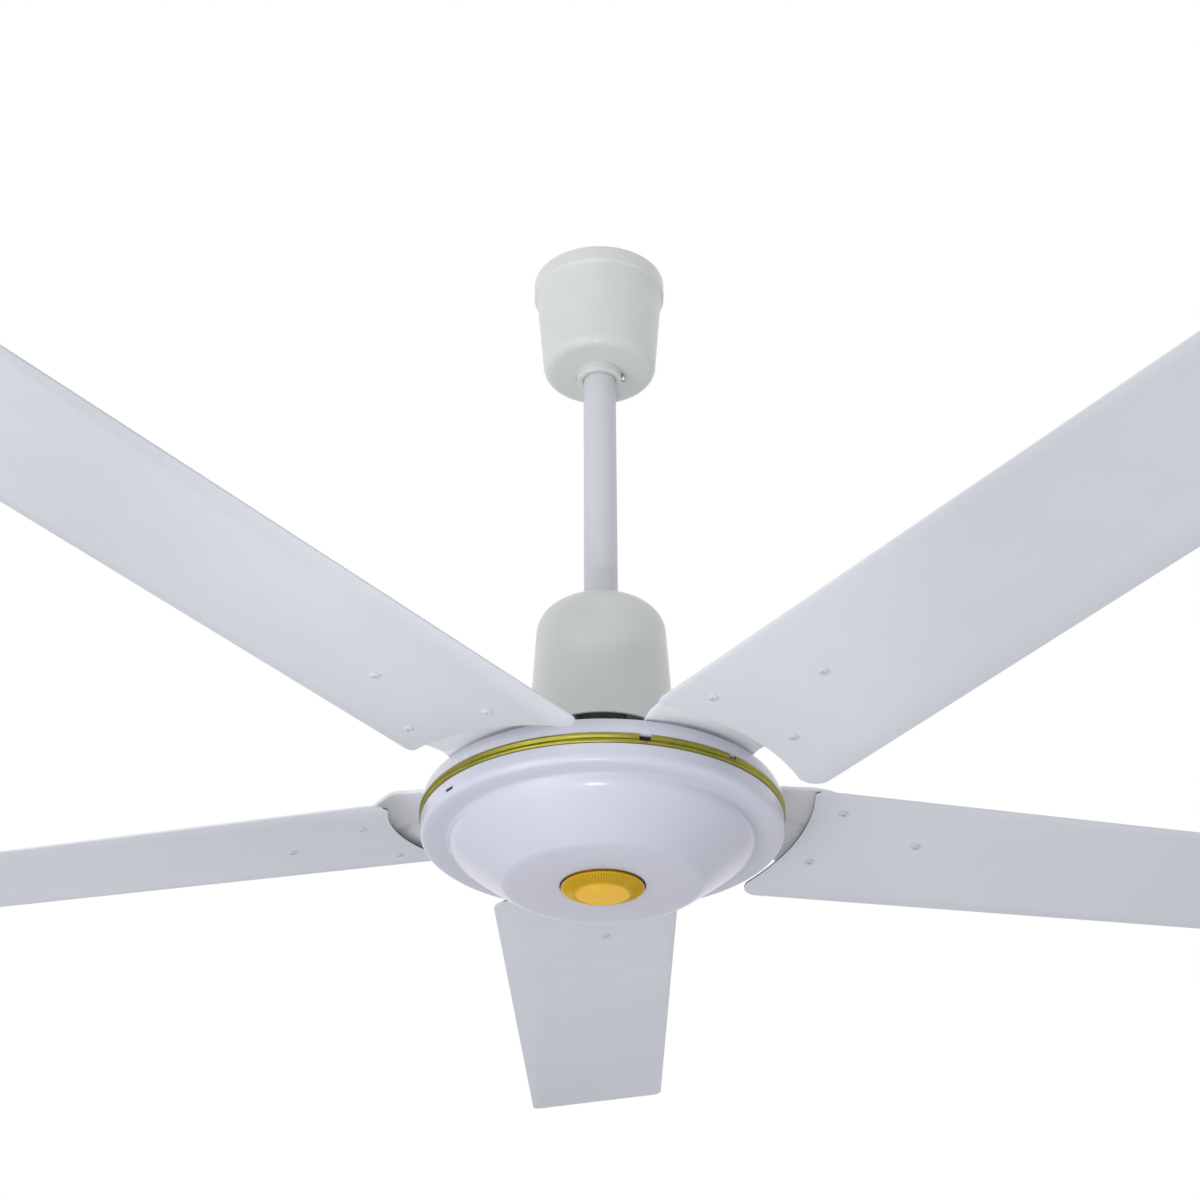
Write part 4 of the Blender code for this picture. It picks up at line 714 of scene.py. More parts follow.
def plastic(tree, colour, second, gloss, grain, amount=0.5, coat=0.0, through=0.0):
    """Make moulded plastic: flow marks, a fine grain and some light through thin walls."""
    return {
        "Coat Weight": coat, "Coat Roughness": 0.12, "Subsurface Weight": through,
        "Subsurface Radius": PLASTIC_REACH, "Subsurface Scale": 1.0,
        "Base Color": tone(tree, colour, second, 18.0, amount),
        "Roughness": shine(tree, gloss, 60.0), "Normal": relief(tree, "fine_skin", grain)}


def metal(tree, colour, gloss, rings):
    """Make bare or plated metal: cloudy tone, uneven gloss, tool rings."""
    return {
        "Metallic": 1.0, "Base Color": tone(tree, colour, 0.72, 60.0, 0.7),
        "Roughness": shine(tree, gloss, 90.0), "Normal": relief(tree, "lathe_rings", rings)}


def striped_metal(tree, colour, second, scale, pattern, gloss):
    """Make a stack or a winding: fine bands across Z, or rings round it, in two tones."""
    bands = node(tree, "TexWave", {
        "Vector": on_object(tree), "Scale": scale, "Distortion": 0.4},
        "Fac", wave_type=pattern, bands_direction="Z", rings_direction="Z")
    bump = node(tree, "Bump", {"Strength": 0.5, "Distance": 0.0003, "Height": bands})
    return {
        "Metallic": 1.0, "Base Color": mixed(tree, bands, rgba(colour), rgba(second)),
        "Roughness": shine(tree, gloss, 90.0), "Normal": bump}


def amber_plastic(tree, colour, gloss, grain):
    """Make clear amber plastic that glows a little from inside, with a darker fluted ring whose
    painted shade is deepest in the gaps between its ribs.
    """
    deeper = (colour[0] * 0.95, colour[1] * 0.84, colour[2])
    place = on_object(tree)
    flat = node(tree, "VectorMath", {0: place, 1: (1, 1, 0)}, operation="MULTIPLY")
    reach = node(tree, "VectorMath", {0: flat}, "Value", operation="LENGTH")
    ring = ranged(tree, reach, CAP_FACE_RADIUS - 0.001, CAP_FACE_RADIUS + 0.001)
    around = node(tree, "TexGradient", {"Vector": place}, "Fac", gradient_type="RADIAL")
    gap = maths(tree, "MULTIPLY", around, bpy.context.scene.fan_shape.cap_ribs)
    # Painted shade of the gaps: darkest midway between the ribs, at half strength over the rest of
    # the ring
    depth = ranged(tree, maths(tree, "PINGPONG", gap, 0.5), 0.1, 0.4, 0.50, 1.0)
    share = maths(tree, "MULTIPLY", ring, depth)
    amber = tone(tree, colour, deeper, 90.0, 0.7)
    return {
        "Coat Weight": 0.05, "Coat Roughness": 0.08, "Specular IOR Level": 0.3,
        "Subsurface Weight": 0.35, "Subsurface Radius": AMBER_REACH, "Subsurface Scale": 0.5,
        "Base Color": mixed(tree, share, amber, AMBER_RING_DARKENING, "MULTIPLY"),
        "Roughness": shine(tree, gloss, 120.0), "Normal": relief(tree, "fine_skin", grain)}


def matte(tree, colour, second):
    """Make the plain, dull surface of the studio's floor."""
    return {"Base Color": tone(tree, colour, second, 1.5),
            "Roughness": shine(tree, (0.75, 0.85), 4.0)}


# Finishes by slot: how each is made, its name, its colour or colour setting, and the rest of
# its maker's values, such as gloss as (low, high) and relief as (scale, depth, strength)
FINISHES = {
    "enamel_white": (
        enamel, "rod_enamel", "rod", (0.34, 0.46), (520.0, 0.00003, 0.35), 0.1, 0.6, 0.35),
    # The irons' copy of the rod's enamel, lighter as painted light
    "iron_enamel": (
        enamel, "iron_enamel", "irons", (0.34, 0.46), (520.0, 0.00003, 0.35), 0.1, 0.6, 0.35),
    # Blade enamel, with painted shade on the root cut edge
    "blade_enamel": (
        enamel, "blade_enamel", "blades", (0.42, 0.54), (430.0, 0.00003, 0.35), 0.0, 0.6, 0.22,
        ROOT_EDGE_SHADE),
    "housing_enamel": (
        enamel, "housing_enamel", "housing", (0.20, 0.28), (300.0, 0.00002, 0.25), 0.15, 0.35,
        0.45),
    "canopy_plastic": (
        plastic, "canopy_plastic", "canopies", SHADE, (0.30, 0.40), (700.0, 0.00003, 0.3), 0.6,
        0.15, 0.5),
    # Black rubber of the roller, also used for the painted shade at the backs of the pockets
    "rubber": (
        plastic, "black_rubber", (0.010, 0.008, 0.007), (0.018, 0.015, 0.012), (0.62, 0.80),
        (500.0, 0.00008, 0.6), 0.7),
    "capacitor_case": (
        plastic, "capacitor_case", (0.78, 0.78, 0.74), (0.68, 0.68, 0.64), (0.38, 0.50),
        (600.0, 0.00003, 0.3)),
    "terminal_plastic": (
        plastic, "terminal_plastic", (0.72, 0.69, 0.58), (0.60, 0.57, 0.47), (0.45, 0.58),
        (600.0, 0.00004, 0.3)),
    "amber_plastic": (
        amber_plastic, "amber_plastic", "cap", (0.14, 0.26), (500.0, 0.00002, 0.25)),
    "trim_gold": (metal, "trim_gold", "trim", (0.34, 0.44), (900.0, 0.00001, 0.2)),
    "zinc": (metal, "zinc_plate", (0.60, 0.61, 0.62), (0.28, 0.42), (700.0, 0.00001, 0.2)),
    "steel": (metal, "machined_steel", (0.52, 0.53, 0.55), (0.22, 0.34), (420.0, 0.00002, 0.4)),
    "copper": (
        striped_metal, "winding_copper", (0.62, 0.28, 0.14), (0.25, 0.09, 0.04), 240.0, "RINGS",
        (0.30, 0.45)),
    "lamination": (
        striped_metal, "lamination_stack", (0.36, 0.37, 0.40), (0.10, 0.10, 0.12), 700.0,
        "BANDS", (0.34, 0.46)),
    "floor": (matte, "studio_floor", (0.86, 0.86, 0.86), (0.83, 0.83, 0.83)),
}


def make_finish(slot):
    """Return the material of a slot, made when it is first asked for."""
    scene = bpy.context.scene
    key = "fan_" + slot
    if key not in scene:
        maker, name, colour, *values = FINISHES[slot]
        if isinstance(colour, str):
            colour = getattr(scene.fan_finish, colour)
        material = bpy.data.materials.new(name)
        material.use_nodes = True
        tree = material.node_tree
        fill(tree, tree.nodes["Principled BSDF"], maker(tree, colour, *values))
        scene[key] = material
    return scene[key]


# Pieces


def piece(name, mesh, slot, body, *nodes, cuts=()):
    """Put a mesh with its finish, cut the tools' meshes from it, and settle it."""
    obj = put(name, mesh, make_finish(slot))
    for tool in cuts:
        cut(obj, tool)
    settle(obj, body, slot, *nodes)


def set_screw(name, height, body, node_name):
    """Make a set screw with a slotted head that points in along X."""
    seat = HUB_RADIUS + FIT_GAP
    top = seat + SET_SCREW_RISE
    profile = rounded([
        (0, BORE_RADIUS), (SET_SCREW_RADIUS, BORE_RADIUS, 0.0003), (SET_SCREW_RADIUS, seat),
        (SET_SCREW_HEAD, seat, 0.0002), (SET_SCREW_HEAD, top, 0.0010), (0, top)], 4)
    screw = put(name, turned(name, profile, SMALL_SEGMENTS), make_finish("zinc"))
    cut(screw, box_mesh("slot", SET_SCREW_SLOT, Matrix.Translation((0, 0, top))))
    screw.data.transform(Matrix.Translation((0, 0, height)) @ SIDEWAYS)
    settle(screw, body, "zinc", node_name)


def upper_canopy_profile():
    """Return the profile of the ceiling cup, counted from its floor."""
    band = UPPER_HEIGHT - UPPER_BAND
    step = band - CANOPY_STEP
    rim = UPPER_HIGH.x
    centre = (UPPER_FOOT_RADIUS - UPPER_CORNER, UPPER_CORNER)
    return rounded([
        (rim, UPPER_HEIGHT, 0.0006), (rim, band, 0.0010), (UPPER_NECK_RADIUS, step, 0.0012),
        (UPPER_FOOT_RADIUS, UPPER_CORNER), *arc(*centre, UPPER_CORNER, -8, -90, 9),
        (HUB_RADIUS, 0, 0.0012), (HUB_RADIUS, -HUB_HEIGHT, 0.0008),
        (BORE_RADIUS, -HUB_HEIGHT, 0.0004), (BORE_RADIUS, CANOPY_WALL),
        *arc(*centre, UPPER_CORNER - CANOPY_WALL, -90, 0, 7),
        (UPPER_NECK_RADIUS - CANOPY_WALL, step), (rim - CANOPY_WALL, band),
        (rim - CANOPY_WALL, UPPER_HEIGHT, 0.0004)])


def lower_canopy_profile():
    """Return the profile of the cup over the coupling, counted from its mouth."""
    top = LOWER_HEIGHT
    centre = (LOWER_SHOULDER_RADIUS - LOWER_CORNER, top - LOWER_CORNER)
    return rounded([
        (LOWER_MOUTH_RADIUS, 0, 0.0005), *arc(*centre, LOWER_CORNER, 0, 90, 12),
        (HUB_RADIUS, top, 0.0012), (HUB_RADIUS, top + HUB_HEIGHT, 0.0008),
        (BORE_RADIUS, top + HUB_HEIGHT, 0.0004), (BORE_RADIUS, top - CANOPY_WALL),
        *arc(*centre, LOWER_CORNER - CANOPY_WALL, 90, 0, 10),
        (LOWER_MOUTH_RADIUS - CANOPY_WALL, 0, 0.0004)])


class FAN_OT_canopies(bpy.types.Operator):
    """Turn the two canopies and fit their set screws"""

    bl_idname = "fan.canopies"
    bl_label = "Canopies"

    def execute(self, context):
        for name, profile, height, hub, body in (
                ("upper_canopy", upper_canopy_profile(), UPPER_LOW.z + HUB_HEIGHT,
                 -HUB_HEIGHT / 2, "ceiling_cup"),
                ("lower_canopy", lower_canopy_profile(), LOWER_MOUTH_Z,
                 LOWER_HEIGHT + HUB_HEIGHT / 2, "motor_cup")):
            shell = name + "_shell"
            piece(shell, turned(shell, profile, height=height), "canopy_plastic", body, name)
            set_screw(name + "_set_screw", height + hub, body, name + "_screw")
        return {"FINISHED"}


class FAN_OT_downrod(bpy.types.Operator):
    """Turn the downrod tube"""

    bl_idname = "fan.downrod"
    bl_label = "Downrod"

    def execute(self, context):
        inner = ROD_RADIUS - ROD_WALL
        profile = rounded([
            (inner, ROD_HIGH.z, 0.0003), (ROD_RADIUS, ROD_HIGH.z, 0.0005),
            (ROD_RADIUS, ROD_LOW.z, 0.0005), (inner, ROD_LOW.z, 0.0003)])
        piece("downrod_tube", turned("downrod_tube", profile), "enamel_white", "hanger", "downrod")
        return {"FINISHED"}


def refined(node_name, slot, body, bevel):
    """Copy a frame node, merge its loose triangles and ease its edges."""
    bm = bmesh.new()
    bm.from_mesh(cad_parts[node_name].data)
    bmesh.ops.remove_doubles(bm, verts=bm.verts, dist=2 * MERGE_REACH)
    bmesh.ops.dissolve_limit(bm, angle_limit=math.radians(1), verts=bm.verts, edges=bm.edges)
    name = node_name + "_part"
    obj = put(name, smooth_mesh(bm, name), make_finish(slot))
    settle(bevelled(obj, bevel, 40), body, slot, node_name)


class FAN_OT_hanger(bpy.types.Operator):
    """Finish the shackle, its roller, bolts and nuts"""

    bl_idname = "fan.hanger"
    bl_label = "Hanger"

    def execute(self, context):
        middle = (ROLLER_LOW.z + ROLLER_HIGH.z) / 2
        half = ROLLER_HIGH.x
        profile = rounded([
            (ROLLER_BORE, -half, 0.0004), (ROLLER_RADIUS, -half, 0.0012),
            (ROLLER_RADIUS, -half + ROLLER_LIP, 0.0008), (ROLLER_GROOVE, -ROLLER_LIP, 0.0030),
            (ROLLER_GROOVE, ROLLER_LIP, 0.0030), (ROLLER_RADIUS, half - ROLLER_LIP, 0.0008),
            (ROLLER_RADIUS, half, 0.0012), (ROLLER_BORE, half, 0.0004)])
        mesh = turned("roller_rubber", profile, ROLLER_SEGMENTS)
        mesh.transform(Matrix.Translation((0, 0, middle)) @ SIDEWAYS)
        piece("roller_rubber", mesh, "rubber", "root", "hanger_roller")
        for name in ("hanger_shackle", "hanger_bolt", "hanger_nut", "rod_top_bolt", "rod_top_nut",
                     "rod_bottom_bolt", "rod_bottom_nut"):
            refined(name, "zinc", "hanger", HANGER_EASE)
        refined("rod_coupling", "steel", "hanger", COUPLING_EASE)
        return {"FINISHED"}


def on_rim(azimuth, radius, height):
    """Return the placement of a block at the rim of the motor."""
    return Matrix.Rotation(azimuth, 4, "Z") @ Matrix.Translation((radius, 0, MOTOR_Z + height))


def pocket_mesh(pocket, shade_sheet=0.0):
    """Return the block that cuts one of the pockets, or the black sheet of painted shade at its
    back.
    """
    name, azimuth, width, foot, top, mouth, depth = pocket
    back = mouth - depth
    front = back + shade_sheet if shade_sheet else mouth + depth
    return box_mesh(name, (front - back, width, top - foot),
                    on_rim(azimuth, (back + front) / 2, (foot + top) / 2))


class FAN_OT_covers(bpy.types.Operator):
    """Turn the two covers of the motor"""

    bl_idname = "fan.covers"
    bl_label = "Motor Covers"

    def execute(self, context):
        seat = TRIM_SEAT_RADIUS
        band = TRIM_HEIGHT / 2 + FIT_GAP
        wall = seat - COVER_WALL
        top = TOP_COVER_HEIGHT
        under = top - COVER_WALL
        boss_top = top + BOSS_HEIGHT
        boss_floor = boss_top - COVER_WALL
        ledge = MOTOR_RADIUS * SEAT_SHARE
        upper = [
            (seat, JOINT_GAP / 2), (seat, band), (MOTOR_RADIUS, band, 0.0004),
            *eased([(MOTOR_RADIUS, 0.40 * top)]
                   + [(MOTOR_RADIUS * wide, top * high) for wide, high in TOP_SHOULDER]),
            (ledge, top - SEAT_STEP, 0.0002), (ledge - 0.0004, top, 0.0003),
            (BOSS_RADIUS, top, 0.0040), (BOSS_RADIUS, boss_top, 0.0012),
            (BOSS_MOUTH_RADIUS, boss_top, 0.0004), (BOSS_MOUTH_RADIUS, boss_floor),
            (BOSS_RADIUS - COVER_WALL, boss_floor), (BOSS_RADIUS - COVER_WALL, under),
            (wall - COVER_WALL, under), (wall, under - COVER_WALL), (wall, JOINT_GAP / 2)]
        dome = eased([(MOTOR_RADIUS * wide, -DOME_DEPTH * deep) for wide, deep in DOME_OUTER], 7)
        inside = [(min(radius - DOME_WALL, wall), height + DOME_WALL)
                  for radius, height in dome[::3]]
        cap_seat = -DOME_DEPTH + CAP_SEAT_DEPTH
        lower = [
            (0, cap_seat + COVER_WALL),
            *[point for point in reversed(inside) if point[1] < -band - DOME_WALL],
            (wall, -JOINT_GAP / 2), (seat, -JOINT_GAP / 2), (seat, -band),
            (MOTOR_RADIUS, -band, 0.0004), *dome, (CAP_RECESS_RADIUS, -DOME_DEPTH, 0.0007),
            (CAP_RECESS_RADIUS, cap_seat), (0, cap_seat)]
        for name, profile, pockets, node_name in (
                ("top_cover_shell", upper, POCKETS[:2], "top_cover"),
                ("dome_shell", lower, POCKETS[::2], "bottom_cover")):
            piece(name, turned(name, rounded(profile), height=MOTOR_Z), "housing_enamel",
                  "rotor", node_name, cuts=map(pocket_mesh, pockets))
        # A black sheet at the back of each pocket paints the shade inside it
        for pocket in POCKETS:
            piece(pocket[0], pocket_mesh(pocket, POCKET_SHADE_SHEET), "rubber", "rotor")
        return {"FINISHED"}


class FAN_OT_trim(bpy.types.Operator):
    """Roll the beaded trim band round the joint of the covers"""

    bl_idname = "fan.trim"
    bl_label = "Trim Band"

    def execute(self, context):
        inner = TRIM_SEAT_RADIUS + FIT_GAP
        outer = TRIM_HIGH.x
        half = TRIM_HEIGHT / 2
        bead = outer - TRIM_BEAD
        swell = [(bead + TRIM_BEAD * math.sin(math.pi * k / 8), (half - TRIM_GROOVE) * k / 8)
                 for k in range(9)]
        profile = rounded([
            (inner, -half), (bead, -half, 0.0004),
            *[(radius, -half + rise) for radius, rise in swell[1:]],
            (bead - 0.0004, 0),
            *[(radius, TRIM_GROOVE + rise) for radius, rise in swell[:-1]],
            (bead, half, 0.0004), (inner, half)], 3)
        gaps = [(TRIM_JOINT_AZIMUTH, TRIM_JOINT_WIDTH, -TRIM_HEIGHT)]
        gaps += [pocket[1:4] for pocket in POCKETS[:2]]
        piece("trim_band", turned("trim_band", profile, TRIM_SEGMENTS, MOTOR_Z), "trim_gold",
              "rotor", "trim_ring", cuts=[
                  box_mesh("joint", (4 * TRIM_THICKNESS, width, TRIM_HEIGHT - foot),
                           on_rim(azimuth, outer, (TRIM_HEIGHT + foot) / 2))
                  for azimuth, width, foot in gaps])
        return {"FINISHED"}


class FAN_OT_cap(bpy.types.Operator):
    """Mould the ribbed centre cap"""

    bl_idname = "fan.cap"
    bl_label = "Centre Cap"

    def execute(self, context):
        shape = context.scene.fan_shape
        back = MOTOR_Z - DOME_DEPTH + CAP_SEAT_DEPTH - FIT_GAP
        top = MOTOR_Z - DOME_DEPTH - CAP_RIM_GAP
        rim = top - CAP_RIM_HEIGHT
        face = MOTOR_Z - DOME_DEPTH - CAP_STAND
        profile = rounded([
            (0, back), (CAP_BODY_RADIUS, back), (CAP_BODY_RADIUS, top, 0.0003),
            (CAP_RADIUS, top, 0.0003), (CAP_RADIUS, rim, 0.0004),
            (CAP_RADIUS - 0.0012, rim - 0.0004, 0.0003),
            (CAP_FACE_RADIUS + 0.0020, face + 0.0012, 0.0008),
            (CAP_FACE_RADIUS, face + 0.0002, 0.0010), (0.004, face, 0.002), (0, face)], 4)
        cap = grown(put("cap", turned("cap", profile)), "ribs_round_cap", {
            "Count": shape.cap_ribs,
            "Inner": (CAP_FACE_RADIUS + 0.0018, 0, face + 0.0012),
            "Outer": (CAP_RADIUS - 0.0014, 0, rim - 0.0003),
            "Rib Radius": shape.cap_rib_width / 2,
            "Material": make_finish("amber_plastic"),
        }, "centre_cap_ribbed")
        settle(cap, "rotor", "amber_plastic", "centre_cap")
        return {"FINISHED"}


def blade_height(shape, along, lead):
    """Return the height of the blade's plane at a place on it, from the motor datum."""
    rise = (along - BLADE_ROOT_RADIUS) * math.tan(shape.blade_rise)
    return BLADE_ROOT_HEIGHT + rise + lead * math.tan(shape.blade_pitch)


def crease_point(along):
    """Return the place of the crease, behind the radial line, on the flat blade."""
    share = (along - BLADE_ROOT_RADIUS) / (BLADE_TIP_LEAD_RADIUS - BLADE_ROOT_RADIUS)
    behind = BLADE_CREASE_ROOT + (BLADE_CREASE_TIP - BLADE_CREASE_ROOT) * share
    return Vector((along, behind, 0))


def blade_outline(steps=24):
    """Return the flat blade's corners as (along, lead), its root edge an arc."""
    lead_turn = math.asin(BLADE_ROOT_LEAD / BLADE_ROOT_RADIUS)
    trail_turn = math.asin((BLADE_ROOT_TRAIL - BLADE_ROOT_SETBACK) / BLADE_ROOT_RADIUS)
    points = []
    for step in range(steps + 1):
        turn = lead_turn - (lead_turn + trail_turn) * step / steps
        along = BLADE_ROOT_RADIUS * math.cos(turn) - BLADE_ROOT_REACH
        points.append((along, BLADE_ROOT_RADIUS * math.sin(turn)))
    return points + [(points[-1][0], -BLADE_ROOT_TRAIL), (BLADE_TIP_TRAIL_RADIUS, -BLADE_TIP_TRAIL),
                     (BLADE_TIP_LEAD_RADIUS, BLADE_TIP_LEAD)]


def mark_shaded_cut_edge(mesh, reach, up_limit=0.86):
    """Store as an attribute which faces of the sheet's cut edge, within a reach of the axis, get
    painted shade.
    """
    edge_shade_mask = mesh.attributes.new("cut_edge", "FLOAT", "FACE")
    for face in mesh.polygons:
        near = math.hypot(face.center.x, face.center.y) < reach
        edge_shade_mask.data[face.index].value = 1.0 if near and abs(face.normal.z) < up_limit else 0.0


def from_sheet(name, bm, thickness, bevel):
    """Give a sheet on the motor datum its thickness, eased edges and height."""
    bmesh.ops.recalc_face_normals(bm, faces=bm.faces)
    sheet = put(name, smooth_mesh(bm, name))
    wall = sheet.modifiers.new("wall", "SOLIDIFY")
    wall.thickness = thickness
    wall.offset = 0
    wall.use_even_offset = True
    bevelled(sheet, bevel, 50)
    sheet.data.transform(Matrix.Translation((0, 0, MOTOR_Z)))
    return sheet


def set_round(sheet, shape, name, finish, slot, node_name):
    """Repeat a sheet round the motor and let it stand for its frame nodes."""
    copies = grown(sheet, "repeat_round_axis", {
        "Count": shape.blade_count, "First Turn": BLADE_FIRST_AZIMUTH,
        "Material": make_finish(finish)}, name)
    settle(copies, "rotor", slot, *["%s_%d" % (node_name, k + 1) for k in range(5)])


class FAN_OT_blades(bpy.types.Operator):
    """Cut, crease and pitch a blade, and repeat it round the motor"""

    bl_idname = "fan.blades"
    bl_label = "Blades"

    def execute(self, context):
        shape = context.scene.fan_shape
        bm = bmesh.new()
        corners = [bm.verts.new((along, -lead, 0)) for along, lead in blade_outline()]
        bm.faces.new(corners)
        for corner, radius in ((corners[0], BLADE_LEAD_CORNER), (corners[-3], BLADE_TRAIL_CORNER),
                               (corners[-2], BLADE_TIP_CORNER), (corners[-1], BLADE_TIP_CORNER)):
            bmesh.ops.bevel(bm, geom=[corner], offset=radius, segments=8, profile=0.5,
                            affect="VERTICES")
        start = crease_point(BLADE_ROOT_RADIUS)
        end = crease_point(BLADE_TIP_LEAD_RADIUS)
        across = Vector((0, 0, 1)).cross(end - start).normalized()
        for step in range(-4, 5):
            plane = start + across * BLADE_CREASE_WIDTH * step / 4
            everything = list(bm.verts) + list(bm.edges) + list(bm.faces)
            bmesh.ops.bisect_plane(bm, geom=everything, dist=MERGE_REACH, plane_co=plane,
                                   plane_no=across)
        for vert in bm.verts:
            beyond = (vert.co - start).dot(across)
            if beyond < -BLADE_CREASE_WIDTH:
                fall = 0
            elif beyond > BLADE_CREASE_WIDTH:
                fall = beyond
            else:
                fall = (beyond + BLADE_CREASE_WIDTH) ** 2 / (4 * BLADE_CREASE_WIDTH)
            height = blade_height(shape, vert.co.x, -vert.co.y)
            vert.co.z = height - fall * math.tan(BLADE_CREASE_ANGLE)
        blade = from_sheet("blade", bm, shape.blade_sheet, BLADE_EASE)
        # Mark the root cut edge for painted shade of the gap under the iron
        mark_shaded_cut_edge(blade.data, BLADE_ROOT_RADIUS + BLADE_EDGE_REACH)
        set_round(blade, shape, "sheet_blades", "blade_enamel", "blade_enamel", "blade")
        return {"FINISHED"}


def iron_height(shape, along, lead):
    """Return the middle of the iron's sheet: flat on the motor, then on the blade."""
    jog = IRON_JOG * share_of(along, IRON_JOG_START, IRON_JOG_END)
    flat = TOP_COVER_HEIGHT + FIT_GAP + shape.iron_sheet / 2 + jog
    stack = (shape.blade_sheet / 2 + FIT_GAP + shape.iron_sheet / 2) / math.cos(shape.blade_pitch)
    seated = blade_height(shape, along, lead) + stack + IRON_SEAT_SLACK
    share = share_of(along, IRON_BEND_START, IRON_BEND_END)
    return flat + (seated - flat) * share * share * (3 - 2 * share)


def iron_width(share):
    """Return the iron's half width at a share of its length."""
    for (low, wide_low), (high, wide_high) in zip(IRON_OUTLINE, IRON_OUTLINE[1:]):
        if share <= high:
            wide = wide_low + (wide_high - wide_low) * (share - low) / (high - low)
            return IRON_HALF_WIDTH * wide
    return IRON_HALF_WIDTH * IRON_OUTLINE[-1][1]


class FAN_OT_irons(bpy.types.Operator):
    """Press a blade iron and repeat it round the motor"""

    bl_idname = "fan.irons"
    bl_label = "Blade Irons"

    def execute(self, context):
        shape = context.scene.fan_shape
        bm = bmesh.new()
        rows = []
        for index in range(IRON_ROWS + 1):
            share = index / IRON_ROWS
            along = IRON_INNER_RADIUS + (IRON_OUTER_RADIUS - IRON_INNER_RADIUS) * share
            near = max(0.0, share - IRON_OUTLINE_EASE)
            far = min(1.0, share + IRON_OUTLINE_EASE)
            wide = (iron_width(near) + iron_width(share) + iron_width(far)) / 3
            rib = min(IRON_RIB_HALF_WIDTH, wide / 2)
            swell = (shape.rib_height * share_of(share, IRON_RIB_START, IRON_RIB_FULL)
                     * share_of(share, IRON_RIB_END, IRON_RIB_WANE))
            row = []
            for column in range(IRON_COLUMNS + 1):
                lead = wide * (2 * column / IRON_COLUMNS - 1)
                height = iron_height(shape, along, lead)
                if abs(lead) < rib:
                    height += swell * (1 + math.cos(math.pi * lead / rib)) / 2
                row.append(bm.verts.new((along, -lead, height)))
            rows.append(row)
        for near, far in zip(rows, rows[1:]):
            for column in range(IRON_COLUMNS):
                bm.faces.new((near[column], near[column + 1], far[column + 1], far[column]))
        iron = from_sheet("iron", bm, shape.iron_sheet, IRON_EASE)
        # The irons take a lighter copy of the rod's enamel as painted light
        set_round(iron, shape, "pressed_irons", "iron_enamel", "enamel_white", "blade_iron")
        return {"FINISHED"}


def screw_template(name, radius, rise):
    """Make a dome-headed screw with a cross in its head, which points along +Z."""
    shank = radius * SCREW_SHANK_SHARE
    rim = rise * SCREW_RIM_SHARE
    turns = [math.radians(90) * k / 8 for k in range(1, 8)]
    profile = [(0, -SCREW_SHANK_LENGTH), (shank, -SCREW_SHANK_LENGTH), (shank, 0), (radius, 0),
               (radius * 0.995, rim)]
    profile += [(radius * math.cos(turn), rim + (rise - rim) * math.sin(turn)) for turn in turns]
    head = put(name, turned(name, profile + [(0, rise)], SCREW_SEGMENTS))
    for turn in (0, 90):
        place = Matrix.Translation((0, 0, rise)) @ Matrix.Rotation(math.radians(turn), 4, "Z")
        cross = (radius * 1.05, radius * SCREW_CROSS_SHARE, rise * 0.9)
        cut(head, box_mesh("cross", cross, place))
    return head


def seated_screws(name, seats, radius, rise, slot, nodes):
    """Set a screw on each seat of (place, facing)."""
    mesh = bpy.data.meshes.new(name + "_seats")
    mesh.from_pydata([place for place, facing in seats], [], [])
    facing_data = mesh.attributes.new("facing", "FLOAT_VECTOR", "POINT")
    for index, (place, facing) in enumerate(seats):
        facing_data.data[index].vector = facing
    template = screw_template(name + "_template", radius, rise)
    screws = grown(put(name, mesh), "screws_on_seats", {
        "Screw": template, "Twist": math.pi, "Seed": 7, "Material": make_finish(slot)}, name)
    bpy.data.objects.remove(template, do_unlink=True)
    settle(screws, "rotor", slot, *nodes)


class FAN_OT_screws(bpy.types.Operator):
    """Set the screws that hold the blades and the irons"""

    bl_idname = "fan.screws"
    bl_label = "Screws"

    def execute(self, context):
        shape = context.scene.fan_shape
        up = Vector((0, 0, 1))
        normal = Vector((-math.tan(shape.blade_rise), math.tan(shape.blade_pitch), 1)).normalized()
        iron_top = MOTOR_Z + TOP_COVER_HEIGHT + FIT_GAP + shape.iron_sheet
        blade_seats = []
        iron_seats = []
        names = []
        for index in range(shape.blade_count):
            turn = Matrix.Rotation(
                BLADE_FIRST_AZIMUTH + math.tau * index / shape.blade_count, 4, "Z")
            for along, lead in ((INNER_SCREW_RADIUS, INNER_SCREW_OFFSET),
                                (INNER_SCREW_RADIUS, -INNER_SCREW_OFFSET), (OUTER_SCREW_RADIUS, 0)):
                height = MOTOR_Z + blade_height(shape, along, lead)
                seat = Vector((along, -lead, height)) - normal * (shape.blade_sheet / 2)
                blade_seats.append((turn @ seat, turn @ -normal))
            for side in (-IRON_SCREW_OFFSET, IRON_SCREW_OFFSET):
                iron_seats.append((turn @ Vector((IRON_SCREW_RADIUS, side, iron_top)), up))
            names += ["blade_screw_%d%s" % (index + 1, letter) for letter in "abc"]
        seated_screws("blade_screw_set", blade_seats, BLADE_SCREW_HEAD, BLADE_SCREW_RISE,
                      "enamel_white", names)
        seated_screws("iron_screw_set", iron_seats, IRON_SCREW_HEAD, IRON_SCREW_RISE, "zinc", ())
        return {"FINISHED"}


